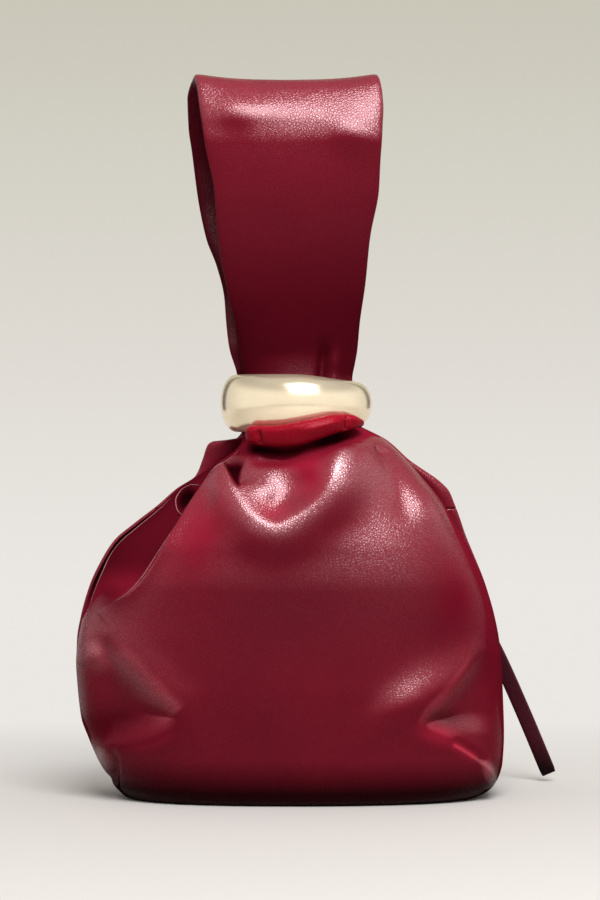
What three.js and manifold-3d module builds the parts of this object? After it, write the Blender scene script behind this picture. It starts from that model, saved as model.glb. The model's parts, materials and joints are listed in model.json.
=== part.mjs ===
// A gathered pouch clutch whose wrist loop passes through a sculpted bangle, in millimetres.
// The origin is the middle of the base's underside, with +X to the right as seen from the
// front, -Y to the front and +Z up. The bag stands on its base with the wrist loop upright.
import * as THREE from "three";
import { mergeVertices } from "three/addons/utils/BufferGeometryUtils.js";
import Module from "manifold-3d";

const wasm = await Module();
wasm.setup();

// Driving dimensions, in millimetres and degrees

const CLEARANCE = 0.3; // between pieces that lie against each other
const LEATHER = 2.0; // outer leather with its backing
const LINING = 0.6;
const LINING_DROP = 8; // of the lining's top below the collar
const LINING_SLACK = 9; // how far the lining's front hangs free of the folded leather
const BOARD = 2.5; // stiffener over the base

// The pouch's outer sections: height, and reach from the origin to each side
const BASE = { z: 0, left: 86, right: 95, front: 45, back: 45 };
const HEEL = { z: 12, left: 96, right: 107.5, front: 50, back: 49 };
const BELLY = { z: 62, left: 113, right: 110, front: 57, back: 54 };
const WAIST = { z: 110, left: 105, right: 100, front: 54.5, back: 51 };
const SHOULDER = { z: 146, left: 76, right: 86.5, front: 47, back: 44.5 };
const COLLAR = { z: 174, left: 47, right: 61, front: 35, back: 32 };
const GATHER = { z: 184, left: 32, right: 50, front: 28, back: 26 };
const NECK = { z: 193, left: 26, right: 35, front: 20.6, back: 20.6 };
const FRONT_SQUARENESS = 2.4; // exponent of the sections' front half
const BACK_SQUARENESS = 6; // flatter, because the zip lies straight there
const SIDE_SEAM_Y = 14; // where the front panel's wrapped sides end

// Main folds of the front panel, each along a line of places across and up as seen from the
// front: how far it stands out, its half widths at the left and right of the line's course, and
// the shares of the line over which its two ends fade, where they do
const SIDE_FOLD = {
  lift: -5,
  left: 4,
  right: 13,
  fade: [0.25, 0.5],
  line: [[-25, 183], [-36, 175.5], [-45, 166], [-53, 153], [-62, 139], [-72, 121], [-82, 110]],
};
const DRAPE_RIDGE = {
  lift: 6,
  left: 9,
  right: 13,
  fade: [0.2, 0.35],
  line: [[-38, 176], [-32, 162], [-21, 147], [-11, 141], [-1, 142], [10, 148], [21, 157], [33, 170]],
};
const DRAPE_HOLLOW = {
  lift: -8,
  left: 13,
  right: 13,
  fade: [0, 0],
  line: [[-19, 174], [-8, 166], [6, 172]],
};
const LEFT_DENT = {
  lift: -7,
  left: 9,
  right: 6,
  fade: [0.3, 0],
  line: [[-107, 36], [-95, 32], [-83, 32], [-71, 35], [-62, 39], [-54, 46]],
};
const LEFT_RIDGE = {
  lift: 3.5,
  left: 10,
  right: 8,
  fade: [0.5, 0],
  line: [[-100, 91], [-87, 74], [-74, 60], [-64, 52], [-56, 46]],
};
const RIGHT_DENT = {
  lift: -6.5,
  left: 6,
  right: 6,
  fade: [0, 0.3],
  line: [[63, 46], [72, 43], [81, 39], [89, 33], [96, 26], [103, 17]],
};
const RIGHT_RIDGE = {
  lift: 3.2,
  left: 9,
  right: 6,
  fade: [0.4, 0],
  line: [[98, 83], [87, 71], [78, 60], [70, 52], [63, 44]],
};
const FOLDS = [
  SIDE_FOLD, DRAPE_RIDGE, DRAPE_HOLLOW, LEFT_DENT, LEFT_RIDGE, RIGHT_DENT, RIGHT_RIDGE,
];
const FOLD_FADE = 14; // height below the neck over which the folds fade out
const FOLD_TURN = 0.45; // share of the way round from the side at which they reach full height

// Zip, in a flat facet of the back
const ZIP_HEIGHT = 150;
const ZIP_TILT = 22;
const ZIP_SINK = 3; // of the facet below the back's curve
const ZIP_END_LEFT = 17; // from the pouch's side to the zip's end
const ZIP_END_RIGHT = 10;
const TAPE_THICKNESS = 0.8;
const TAPE_WIDTH = 9.5;
const WINDOW_HALF = 5.4; // half the gap between the leather edges
const TOOTH_PITCH = 2.6;
const TOOTH_LENGTH = 1.0; // along the zip
const TOOTH_REACH = 0.9; // past the middle of the chain
const CHAIN_HALF = 2.9;
const CHAIN_THICKNESS = 2.6;
const BEAD_WIDTH = 1.3;
const STOP_LENGTH = 3;

// Slider on the zip
const SLIDER_LENGTH = 13;
const SLIDER_HALF = 4.6; // half the width across its plates
const SLIDER_TAIL_HALF = 4.4; // half the width at the end where the teeth are joined
const SLIDER_CORNER = 2.3; // radius of the two corners at the mouth
const SLIDER_TAPER = 7.8; // length over which the plates narrow to the tail
const SLIDER_PLATE = 1.2;
const FLANGE_LENGTH = 10; // of the four flanges that grip the teeth
const FLANGE_INSET = 0.2; // from the plates' edges
const WEDGE_WIDTH = 2.4; // of the post that parts the teeth
const WEDGE_LENGTH = 5.4;
const WEDGE_NOSE = 1.0; // from its widest place to the mouth's end
const WEDGE_INSET = 0.5; // from the mouth's end
const BRIDGE_BAR_RADIUS = 0.9;
const BRIDGE_FOOT = 1.4;

// Leather zip pull
const PULL_WIDTH = 7.5;
const PULL_THICKNESS = 2.4;
const PULL_EYE_WALL = 1.1;
const PULL_DROP = 144;
// Its way down from the eye: share of the drop, step to the right, step out from the back
const PULL_STATIONS = [
  { drop: 0, x: 0, y: 0 },
  { drop: 0.025, x: 0, y: 2.2 },
  { drop: 0.07, x: 4.8, y: 6 },
  { drop: 0.14, x: 11.5, y: 9.6 },
  { drop: 0.3, x: 25.5, y: 13.6 },
  { drop: 0.53, x: 43.5, y: 15.6 },
  { drop: 0.75, x: 58, y: 15.6 },
  { drop: 1, x: 73.2, y: 14.8 },
];

// Bangle round the neck
const RING_CENTRE_X = 1.9;
const RING_BORE_X = 30; // half the bore's width
const RING_BORE_Y = 24; // half the bore's depth
const RING_Z = 205.2;
const RING_TRAVEL = 12;
const RING_FLAT = 0.2; // share of the thickness where the bore's curve meets the dome
// Height, radial thickness and rise of its section by angle from the right, anticlockwise
const RING_STATIONS = [
  { angle: 0, height: 22, thick: 9.3, rise: -0.5 },
  { angle: 90, height: 18, thick: 7, rise: 0 },
  { angle: 150, height: 23.6, thick: 8.4, rise: 0.4 },
  { angle: 180, height: 29.7, thick: 9.6, rise: 0 },
  { angle: 225, height: 30, thick: 11, rise: 0 },
  { angle: 270, height: 29.3, thick: 12, rise: 0.3 },
  { angle: 315, height: 24.5, thick: 10.5, rise: 0 },
  { angle: 360, height: 22, thick: 9.3, rise: -0.5 },
];

// Legs of the wrist loop, which pass through the bangle
const LEG_GAP = 0.6; // between the two legs
const LEG_ROOT_DROP = 8; // of their sewn ends below the gather
const LEG_ROOT_INSET = 3; // of their sewn ends from the neck's inside
const LEG_ROOT_DEEP = 15;
const LEG_NIP_RISE = 12; // from the bangle's middle up to where they are pressed flat
const LEG_NIP_DEEP = 17;

// Wrist loop
const FOLD_RADIUS = 10; // half depth of both legs where the loop folds over
const FOLD_BLEND = 34; // height over which the legs' depth thins to the strap's
const HANDLE_LEATHER = 1.3;
const HANDLE_PADDING = 2.2;
const HANDLE_EDGE = 0.4; // rounding of the layers' edges
// The loop's outer face from the front leg over the top to the rear leg: height above the
// fold line, depth from the middle, reach to the left and right edge
const HANDLE_STATIONS = [
  { rise: -12, y: -10, left: 27.5, right: 32 },
  { rise: 4, y: -10.2, left: 30.3, right: 35 },
  { rise: 24, y: -12, left: 35, right: 38 },
  { rise: 48, y: -15.5, left: 39, right: 40.2 },
  { rise: 72, y: -18.5, left: 41, right: 44 },
  { rise: 96, y: -19.5, left: 46, right: 45.8 },
  { rise: 118, y: -17.5, left: 48.5, right: 46.4 },
  { rise: 130, y: -10, left: 51, right: 45 },
  { rise: 133, y: 0, left: 52, right: 44 },
  { rise: 129, y: 11, left: 54, right: 44 },
  { rise: 117, y: 18.5, left: 56, right: 44 },
  { rise: 95, y: 20, left: 53, right: 43 },
  { rise: 69, y: 18.5, left: 49, right: 41 },
  { rise: 43, y: 15, left: 44, right: 38 },
  { rise: 20, y: 11.8, left: 38, right: 36 },
  { rise: 4, y: 10.2, left: 33, right: 34 },
  { rise: -12, y: 10, left: 29, right: 32 },
];

// Inner slip pocket
const POCKET_WIDTH = 104;
const POCKET_BOTTOM = 52;
const POCKET_HEIGHT = 72;

// Counts and spacing of facets
const SECTION_POINTS = 44;
const PROFILE_STEP = 14; // height between rows of facets
const FRONT_POINTS = 28; // across the folded front panel
// Rows of the front panel to each row of the profile, from a height up
const FRONT_ROWS = [
  { from: BASE.z, rows: 1 },
  { from: HEEL.z, rows: 2 },
  { from: BELLY.z, rows: 1 },
  { from: WAIST.z, rows: 3 },
  { from: COLLAR.z, rows: 1 },
];
const LEG_POINTS = 9;
const LEG_STEPS = 12;
const RING_STEPS = 56;
const RING_POINTS = 14;
const HANDLE_STEPS = 40;
const PULL_STEPS = 14;
const PULL_CROWDING = 1.2; // exponent that draws the pull's facets towards its eye
const ROUND_STEPS = 16;

// Values that follow from the dimensions above

const SECTIONS = [BASE, HEEL, BELLY, WAIST, SHOULDER, COLLAR, GATHER, NECK];
const at = (x, y, z) => new THREE.Vector3(x, y, z);
const UP = at(0, 0, 1);
const FAR = 400; // reaches past the whole bag in a cut
const SPARE = 1; // how far a cutting solid runs past what it cuts

// A smooth value between stations that never overshoots them
function smooth(stations, knot, key, place) {
  const last = stations.length - 1;
  const clamped = Math.min(Math.max(place, stations[0][knot]), stations[last][knot]);
  let i = 0;
  while (i < last - 1 && clamped > stations[i + 1][knot]) i += 1;
  const span = (k) => stations[k + 1][knot] - stations[k][knot];
  const slope = (k) => (stations[k + 1][key] - stations[k][key]) / span(k);
  const tangent = (k) => {
    if (k === 0) return slope(0);
    if (k === last) return slope(last - 1);
    const before = slope(k - 1);
    const after = slope(k);
    return before * after <= 0 ? 0 : (2 * before * after) / (before + after);
  };
  const t = (clamped - stations[i][knot]) / span(i);
  const start = stations[i][key] * (1 + (2 * t - 3) * t * t);
  const end = stations[i + 1][key] * (3 - 2 * t) * t * t;
  const leave = tangent(i) * span(i) * t * (1 - t) * (1 - t);
  const arrive = tangent(i + 1) * span(i) * t * t * (t - 1);
  return start + end + leave + arrive;
}

// Rows of the pouch's profile, close enough that straight lines between them look smooth
const PROFILE = SECTIONS.flatMap((section, i) => {
  const next = SECTIONS[i + 1];
  if (!next) return [section];
  const steps = Math.max(2, Math.round((next.z - section.z) / PROFILE_STEP));
  return Array.from({ length: steps }, (_, k) => {
    const z = section.z + ((next.z - section.z) * k) / steps;
    const reach = (key) => smooth(SECTIONS, "z", key, z);
    return {
      z,
      left: reach("left"),
      right: reach("right"),
      front: reach("front"),
      back: reach("back"),
    };
  });
});

// Straight between the profile's rows, so that every wall and lining follows the same facets
function profileAt(height, key) {
  const last = PROFILE.length - 1;
  const upper = PROFILE.findIndex((row) => row.z >= height);
  const j = upper < 0 ? last : Math.max(upper, 1);
  const below = PROFILE[j - 1];
  const above = PROFILE[j];
  return below[key] + ((above[key] - below[key]) * (height - below.z)) / (above.z - below.z);
}

// Heights of the folded front panel's rows: the profile's, with more where the folds are
const FRONT_HEIGHTS = PROFILE.flatMap((row, i) => {
  const next = PROFILE[i + 1] ?? row;
  const { rows } = FRONT_ROWS.findLast(({ from }) => row.z >= from);
  const steps = next === row ? 1 : rows;
  return Array.from({ length: steps }, (_, k) => row.z + ((next.z - row.z) * k) / steps);
});

// Rows of the lining, which needs fewer because it is plain
const LINING_HEIGHTS = PROFILE.map((row) => row.z).filter(
  (z) => z >= SHOULDER.z || SECTIONS.some((section) => section.z === z),
);

// Places round one section of the pouch as shares of its reach, from the right anticlockwise
function sectionShares(frontPoints) {
  const shares = [];
  const onCurve = (c, s) => {
    const power = 2 / (s < 0 ? FRONT_SQUARENESS : BACK_SQUARENESS);
    return [Math.sign(c) * Math.abs(c) ** power, Math.sign(s) * Math.abs(s) ** power];
  };
  for (let j = 0; j <= SECTION_POINTS / 2; j += 1) {
    const angle = (j / SECTION_POINTS) * 2 * Math.PI;
    shares.push(onCurve(Math.cos(angle), Math.sin(angle)));
  }
  shares[SECTION_POINTS / 2] = [-1, 0];
  // The front's places are spaced evenly along its curve
  const fine = 40 * frontPoints;
  const dense = Array.from({ length: fine + 1 }, (_, j) => {
    const angle = Math.PI + (j / fine) * Math.PI;
    return onCurve(Math.cos(angle), Math.sin(angle));
  });
  const travelled = [0];
  for (let j = 1; j <= fine; j += 1) {
    const x = (dense[j][0] - dense[j - 1][0]) * BELLY.left;
    const y = (dense[j][1] - dense[j - 1][1]) * BELLY.front;
    travelled.push(travelled[j - 1] + Math.hypot(x, y));
  }
  for (let k = 1; k < frontPoints; k += 1) {
    const goal = (travelled[fine] * k) / frontPoints;
    shares.push(dense[travelled.findIndex((length) => length >= goal)]);
  }
  return shares;
}

// How far one fold stands out at a place seen from the front
function foldHeight(fold, x, z) {
  const place = new THREE.Vector2(x, z);
  const points = fold.line.map(([px, pz]) => new THREE.Vector2(px, pz));
  let travelled = 0;
  let best = { distance: Infinity };
  for (let i = 1; i < points.length; i += 1) {
    const step = points[i].clone().sub(points[i - 1]);
    const offset = place.clone().sub(points[i - 1]);
    const t = THREE.MathUtils.clamp(offset.dot(step) / step.lengthSq(), 0, 1);
    const gap = offset.clone().addScaledVector(step, -t);
    if (gap.length() < best.distance) {
      const width = step.cross(offset) > 0 ? fold.left : fold.right;
      best = { distance: gap.length(), width, along: travelled + t * step.length() };
    }
    travelled += step.length();
  }
  const share = best.along / travelled;
  const faded = (way, over) => (over > 0 ? THREE.MathUtils.smoothstep(way, 0, over) : 1);
  const ends = faded(share, fold.fade[0]) * faded(1 - share, fold.fade[1]);
  return fold.lift * Math.exp(-((best.distance / best.width) ** 2)) * ends;
}

// How far the front panel stands out in all at a place of a section
function foldLift([across, along], height) {
  const x = across * profileAt(height, across < 0 ? "left" : "right");
  const facing = THREE.MathUtils.smoothstep(-along, 0, FOLD_TURN);
  const fade = THREE.MathUtils.smoothstep(NECK.z - height, 0, FOLD_FADE);
  return facing * fade * FOLDS.reduce((sum, fold) => sum + foldHeight(fold, x, height), 0);
}

const INNER_FACE = LEATHER + CLEARANCE; // inset of what lies against the leather's inside
const LINING_FLOOR = INNER_FACE + BOARD + CLEARANCE;
const LINING_TOP = COLLAR.z - LINING_DROP;
const ZIP_Y = profileAt(ZIP_HEIGHT, "back") - ZIP_SINK;
const ZIP_LEFT = ZIP_END_LEFT - profileAt(ZIP_HEIGHT, "left");
const ZIP_RIGHT = profileAt(ZIP_HEIGHT, "right") - ZIP_END_RIGHT;
const PULL_EYE_INNER = BRIDGE_BAR_RADIUS + CLEARANCE;
const PULL_EYE_OUTER = PULL_EYE_INNER + PULL_EYE_WALL;
const TAPE_MIDDLE = -(INNER_FACE + TAPE_THICKNESS / 2);
const CHAIN_LOW = TAPE_MIDDLE - CHAIN_THICKNESS / 2;
const CHAIN_HIGH = TAPE_MIDDLE + CHAIN_THICKNESS / 2;
const CHAIN_LEFT = ZIP_LEFT + 2 * STOP_LENGTH;
const CHAIN_RIGHT = ZIP_RIGHT - STOP_LENGTH - CLEARANCE - SLIDER_LENGTH / 2;
const PLATE_TOP = CHAIN_HIGH + CLEARANCE + SLIDER_PLATE;
const PLATE_BOTTOM = CHAIN_LOW - CLEARANCE - SLIDER_PLATE;
const BRIDGE_BAR = PLATE_TOP + CLEARANCE + PULL_EYE_OUTER;
const SLIDER_X = CHAIN_RIGHT;
const RING_TOP = RING_Z + Math.max(...RING_STATIONS.map((s) => s.rise + s.height / 2));
const LEG_TOP = RING_TOP + RING_TRAVEL + 2 * CLEARANCE;
const FOLD_Z = LEG_TOP + CLEARANCE + FOLD_RADIUS;
const HANDLE_THICKNESS = 2 * HANDLE_LEATHER + HANDLE_PADDING + 2 * CLEARANCE;

const zipMatrix = new THREE.Matrix4().makeRotationX(THREE.MathUtils.degToRad(ZIP_TILT));
zipMatrix.setPosition(0, ZIP_Y, ZIP_HEIGHT);
const hinge = at(SLIDER_X, BRIDGE_BAR, 0).applyMatrix4(zipMatrix);

// Colours and finishes

const finish = (color, roughness, metalness) => () =>
  new THREE.MeshStandardMaterial({ color, roughness, metalness });
const leather = finish(0x6f1522, 0.36, 0);
const innerLeather = finish(0x8c3a48, 0.55, 0);
const gold = finish(0xe6cfae, 0.12, 1);
const cloth = finish(0xb9a58f, 0.8, 0);
const tapeCloth = finish(0x6f1522, 0.85, 0);
const cardboard = finish(0x6a5a48, 0.9, 0);

// A closed solid through rings of points, each ring anticlockwise about the way they run
function loft(rings, joined = false) {
  const count = rings[0].length;
  const positions = rings.flat().flatMap((p) => [p.x, p.y, p.z]);
  const index = [];
  const bands = joined ? rings.length : rings.length - 1;
  for (let i = 0; i < bands; i += 1) {
    const near = i * count;
    const far = ((i + 1) % rings.length) * count;
    for (let j = 0; j < count; j += 1) {
      const k = (j + 1) % count;
      index.push(near + j, near + k, far + k, near + j, far + k, far + j);
    }
  }
  const closeEnd = (ring, start, turned) => {
    const centre = ring.reduce((sum, p) => sum.add(p), at(0, 0, 0)).divideScalar(count);
    const hub = positions.length / 3;
    positions.push(centre.x, centre.y, centre.z);
    for (let j = 0; j < count; j += 1) {
      const k = (j + 1) % count;
      index.push(hub, start + (turned ? k : j), start + (turned ? j : k));
    }
  };
  if (!joined) {
    closeEnd(rings[0], 0, true);
    closeEnd(rings[rings.length - 1], (rings.length - 1) * count, false);
  }
  const geometry = new THREE.BufferGeometry();
  geometry.setAttribute("position", new THREE.Float32BufferAttribute(positions, 3));
  geometry.setIndex(index);
  return geometry;
}

function solid(geometry) {
  const plain = geometry.clone();
  plain.deleteAttribute("normal");
  plain.deleteAttribute("uv");
  const merged = mergeVertices(plain, 1e-4);
  return new wasm.Manifold(
    new wasm.Mesh({
      numProp: 3,
      vertProperties: new Float32Array(merged.attributes.position.array),
      triVerts: new Uint32Array(merged.index.array),
    }),
  );
}

function geometryOf(body) {
  const mesh = body.getMesh();
  const geometry = new THREE.BufferGeometry();
  geometry.setAttribute("position", new THREE.BufferAttribute(mesh.vertProperties, 3));
  geometry.setIndex(new THREE.BufferAttribute(mesh.triVerts, 1));
  const flat = geometry.toNonIndexed();
  flat.computeVertexNormals();
  return flat;
}

// A block between two corners, given in either order
function box(a, b, matrix = new THREE.Matrix4()) {
  const size = new THREE.Vector3().subVectors(b, a);
  const geometry = new THREE.BoxGeometry(Math.abs(size.x), Math.abs(size.y), Math.abs(size.z));
  geometry.translate((a.x + b.x) / 2, (a.y + b.y) / 2, (a.z + b.z) / 2);
  return solid(geometry.applyMatrix4(matrix));
}

// A round bar along X
function bar(radius, length, segments = ROUND_STEPS) {
  const geometry = new THREE.CylinderGeometry(radius, radius, length, segments);
  return solid(geometry.rotateZ(Math.PI / 2));
}

function named(name, geometry, material) {
  const mesh = new THREE.Mesh(geometry, material());
  mesh.name = name;
  return mesh;
}

// Three ways to build the pouch's wall: plain, with the front's folds, and as the slack lining
const PLAIN_WALL = {
  shares: sectionShares(SECTION_POINTS / 2),
  heights: PROFILE.map((row) => row.z),
  slack: 0,
  folded: false,
};
const FOLDED_WALL = {
  shares: sectionShares(FRONT_POINTS),
  heights: FRONT_HEIGHTS,
  slack: 0,
  folded: true,
};
const LINING_WALL = { ...PLAIN_WALL, heights: LINING_HEIGHTS, slack: LINING_SLACK };

// One section of a wall, drawn in by an inset
function sectionRing(height, inset, wall = PLAIN_WALL) {
  const reach = (key) => profileAt(height, key) - inset;
  return wall.shares.map((share) => {
    const [across, along] = share;
    const x = across * reach(across < 0 ? "left" : "right");
    if (along >= 0) return at(x, along * reach("back"), height);
    const lift = wall.folded ? foldLift(share, height) : 0;
    return at(x, along * (reach("front") - wall.slack) - lift, height);
  });
}

// The pouch's solid between two heights, with the zip's facet cut flat
function pouchSolid(bottom, top, inset, wall = PLAIN_WALL) {
  const between = wall.heights.filter((z) => z > bottom && z < top);
  const heights = [bottom, ...between, top];
  const body = solid(loft(heights.map((height) => sectionRing(height, inset, wall))));
  const beyondFacet = box(at(-FAR, -inset, -FAR), at(FAR, FAR, FAR), zipMatrix);
  return body.subtract(beyondFacet);
}

// Outer leather: the front panel with its wrapped sides, the panel below the zip and the
// yoke above it
function outerPanels() {
  const shell = (wall) =>
    pouchSolid(BASE.z, NECK.z, 0, wall).subtract(
      pouchSolid(BASE.z - SPARE, NECK.z + SPARE, LEATHER, wall),
    );
  const seam = CLEARANCE / 2;
  const frontHalf = box(at(-FAR, -FAR, -FAR), at(FAR, SIDE_SEAM_Y - seam, FAR));
  const rearHalf = box(at(-FAR, SIDE_SEAM_Y + seam, -FAR), at(FAR, FAR, FAR));
  const window = box(
    at(ZIP_LEFT, -FAR, -WINDOW_HALF),
    at(ZIP_RIGHT, FAR, WINDOW_HALF),
    zipMatrix,
  );
  const front = shell(FOLDED_WALL).intersect(frontHalf);
  const rear = shell(PLAIN_WALL).intersect(rearHalf).subtract(window);
  const above = box(at(-FAR, -FAR, seam), at(FAR, FAR, FAR), zipMatrix);
  const below = box(at(-FAR, -FAR, -FAR), at(FAR, FAR, -seam), zipMatrix);
  return [
    named("front_panel", geometryOf(front), leather),
    named("back_panel", geometryOf(rear.intersect(below)), leather),
    named("rear_yoke", geometryOf(rear.intersect(above)), leather),
  ];
}

// Leather base and the stiffener board that lies on it
function basePieces() {
  const slab = (bottom, top) =>
    loft([sectionRing(bottom, INNER_FACE), sectionRing(top, INNER_FACE)]);
  return [
    named("base_panel", slab(BASE.z, LEATHER), leather),
    named("base_board", slab(INNER_FACE, INNER_FACE + BOARD), cardboard),
  ];
}

// Lining, open at the zip, and the slip pocket on its front wall
function liningPieces() {
  const inside = INNER_FACE + LINING;
  const tapeReach = CHAIN_HALF + TAPE_WIDTH + 2 * CLEARANCE;
  const window = box(
    at(ZIP_LEFT - CLEARANCE, -ZIP_Y, -tapeReach),
    at(ZIP_RIGHT + CLEARANCE, FAR, tapeReach),
    zipMatrix,
  );
  const wall = LINING_WALL;
  const sack = pouchSolid(LINING_FLOOR, LINING_TOP, INNER_FACE, wall)
    .subtract(pouchSolid(LINING_FLOOR + LINING, LINING_TOP - LINING, inside, wall))
    .subtract(window);
  const pocketFace = inside + CLEARANCE;
  const pocketBand = pouchSolid(LINING_FLOOR + LINING, LINING_TOP, pocketFace, wall).subtract(
    pouchSolid(LINING_FLOOR, LINING_TOP + SPARE, pocketFace + LINING, wall),
  );
  const pocketCut = box(
    at(-POCKET_WIDTH / 2, -FAR, POCKET_BOTTOM),
    at(POCKET_WIDTH / 2, 0, POCKET_BOTTOM + POCKET_HEIGHT),
  );
  return [
    named("lining", geometryOf(sack), cloth),
    named("slip_pocket", geometryOf(pocketBand.intersect(pocketCut)), cloth),
  ];
}

// One tape, trimmed at its corners to the inside of the leather
function tapeSolid(side) {
  const inner = CHAIN_HALF + CLEARANCE;
  const half = TAPE_THICKNESS / 2;
  const strip = box(
    at(ZIP_LEFT + CLEARANCE, TAPE_MIDDLE - half, side * inner),
    at(ZIP_RIGHT - CLEARANCE, TAPE_MIDDLE + half, side * (inner + TAPE_WIDTH)),
    zipMatrix,
  );
  return strip.intersect(pouchSolid(BASE.z, NECK.z, INNER_FACE));
}

// One side of the chain: a bead along the tape's edge and the teeth that stand on it
function teethSolid(side) {
  const slab = (x0, x1, z0, z1) => box(at(x0, CHAIN_LOW, side * z0), at(x1, CHAIN_HIGH, side * z1));
  let comb = slab(CHAIN_LEFT, CHAIN_RIGHT, CHAIN_HALF - BEAD_WIDTH, CHAIN_HALF);
  const shift = side > 0 ? 0 : TOOTH_PITCH / 2;
  for (let x = CHAIN_LEFT + shift; x + TOOTH_LENGTH < CHAIN_RIGHT; x += TOOTH_PITCH) {
    comb = comb.add(slab(x, x + TOOTH_LENGTH, -TOOTH_REACH, CHAIN_HALF - BEAD_WIDTH / 2));
  }
  return comb;
}

// The end stops: one closes the left end across both tapes, one sits on each tape at the right
function zipStops() {
  const block = (x0, z0, z1) => {
    const geometry = new THREE.BoxGeometry(STOP_LENGTH, CHAIN_THICKNESS, z1 - z0);
    return geometry.translate(x0 + STOP_LENGTH / 2, TAPE_MIDDLE, (z0 + z1) / 2);
  };
  const leftStart = CHAIN_LEFT - CLEARANCE - STOP_LENGTH;
  const rightStart = ZIP_RIGHT - STOP_LENGTH;
  return [
    named("zip_bottom_stop", block(leftStart, -CHAIN_HALF, CHAIN_HALF), gold),
    named("zip_top_stop_upper", block(rightStart, CLEARANCE, CHAIN_HALF), gold),
    named("zip_top_stop_lower", block(rightStart, -CHAIN_HALF, -CLEARANCE), gold),
  ];
}

// An outline in the slider's plane, raised to a depth from a bottom face
function raised(outline, bottom, depth) {
  const options = { depth, bevelEnabled: false, curveSegments: 5 };
  const geometry = new THREE.ExtrudeGeometry(outline, options);
  geometry.rotateX(Math.PI / 2);
  return solid(geometry.translate(0, bottom + depth, 0));
}

// Slider plate: narrow at its tail, with rounded corners at its mouth
function plateOutline() {
  const half = SLIDER_LENGTH / 2;
  const corner = half - SLIDER_CORNER;
  const inner = SLIDER_HALF - SLIDER_CORNER;
  const outline = new THREE.Shape();
  outline.moveTo(-half, -SLIDER_TAIL_HALF);
  outline.lineTo(SLIDER_TAPER - half, -SLIDER_HALF);
  outline.absarc(corner, -inner, SLIDER_CORNER, -Math.PI / 2, 0, false);
  outline.absarc(corner, inner, SLIDER_CORNER, 0, Math.PI / 2, false);
  outline.lineTo(SLIDER_TAPER - half, SLIDER_HALF);
  outline.lineTo(-half, SLIDER_TAIL_HALF);
  return outline;
}

// The post between the plates that parts the teeth
function wedgeOutline() {
  const nose = SLIDER_LENGTH / 2 - WEDGE_INSET;
  const outline = new THREE.Shape();
  outline.moveTo(nose - WEDGE_LENGTH, 0);
  outline.lineTo(nose - WEDGE_NOSE, -WEDGE_WIDTH / 2);
  outline.lineTo(nose, 0);
  outline.lineTo(nose - WEDGE_NOSE, WEDGE_WIDTH / 2);
  return outline;
}

// Slider body: two plates joined by the post, flanges that grip the chain, and a bridge
function sliderSolid() {
  const half = SLIDER_LENGTH / 2;
  const outline = plateOutline();
  const lowerMiddle = PLATE_BOTTOM + SLIDER_PLATE / 2;
  const upperMiddle = PLATE_TOP - SLIDER_PLATE / 2;
  const slot = TAPE_THICKNESS / 2 + CLEARANCE;
  const flangeInner = CHAIN_HALF + CLEARANCE;
  const flangeOuter = SLIDER_HALF - FLANGE_INSET;
  const flangeEnd = FLANGE_LENGTH - half;
  const footNear = PULL_WIDTH / 2 + CLEARANCE;
  const footFar = footNear + BRIDGE_FOOT;
  let body = raised(outline, PLATE_BOTTOM, SLIDER_PLATE)
    .add(raised(outline, PLATE_TOP - SLIDER_PLATE, SLIDER_PLATE))
    .add(raised(wedgeOutline(), lowerMiddle, upperMiddle - lowerMiddle))
    .add(bar(BRIDGE_BAR_RADIUS, 2 * footFar).translate([0, BRIDGE_BAR, 0]));
  [-1, 1].forEach((side) => {
    const inner = side * flangeInner;
    const outer = side * flangeOuter;
    const footTop = BRIDGE_BAR + BRIDGE_BAR_RADIUS;
    body = body
      .add(box(at(-half, TAPE_MIDDLE + slot, inner), at(flangeEnd, upperMiddle, outer)))
      .add(box(at(-half, lowerMiddle, inner), at(flangeEnd, TAPE_MIDDLE - slot, outer)))
      .add(
        box(
          at(side * footNear, upperMiddle, -BRIDGE_BAR_RADIUS),
          at(side * footFar, footTop, BRIDGE_BAR_RADIUS),
        ),
      );
  });
  return body;
}

function zipPieces() {
  const group = new THREE.Group();
  group.applyMatrix4(zipMatrix);
  group.add(named("zip_teeth_upper", geometryOf(teethSolid(1)), gold));
  group.add(named("zip_teeth_lower", geometryOf(teethSolid(-1)), gold));
  zipStops().forEach((stop) => group.add(stop));
  const slider = named("zip_slider", geometryOf(sliderSolid()), gold);
  slider.position.x = SLIDER_X;
  group.add(slider);
  return group;
}

// The pull's middle line at a share of its drop, from the hinge
function pullPoint(share) {
  const x = smooth(PULL_STATIONS, "drop", "x", share);
  const y = smooth(PULL_STATIONS, "drop", "y", share);
  return at(x, y, -share * PULL_DROP);
}

// Leather pull: an eye round the slider's bridge and a flat strap that hangs from it
function pullSolid() {
  const nearby = 0.01; // share of the drop over which the strap's direction is read
  const rings = [];
  for (let i = 0; i <= PULL_STEPS; i += 1) {
    const share = (i / PULL_STEPS) ** PULL_CROWDING;
    const ahead = Math.min(share + nearby, 1);
    const along = pullPoint(ahead).sub(pullPoint(ahead - 2 * nearby)).normalize();
    const out = at(0, 1, 0).addScaledVector(along, -along.y).normalize();
    const across = new THREE.Vector3().crossVectors(along, out).normalize();
    const corner = (a, b) =>
      pullPoint(share)
        .addScaledVector(across, (a * PULL_WIDTH) / 2)
        .addScaledVector(out, (b * PULL_THICKNESS) / 2);
    rings.push([corner(-1, -1), corner(-1, 1), corner(1, 1), corner(1, -1)]);
  }
  return solid(loft(rings))
    .add(bar(PULL_EYE_OUTER, PULL_WIDTH))
    .subtract(bar(PULL_EYE_INNER, PULL_WIDTH + 2 * SPARE));
}

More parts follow.
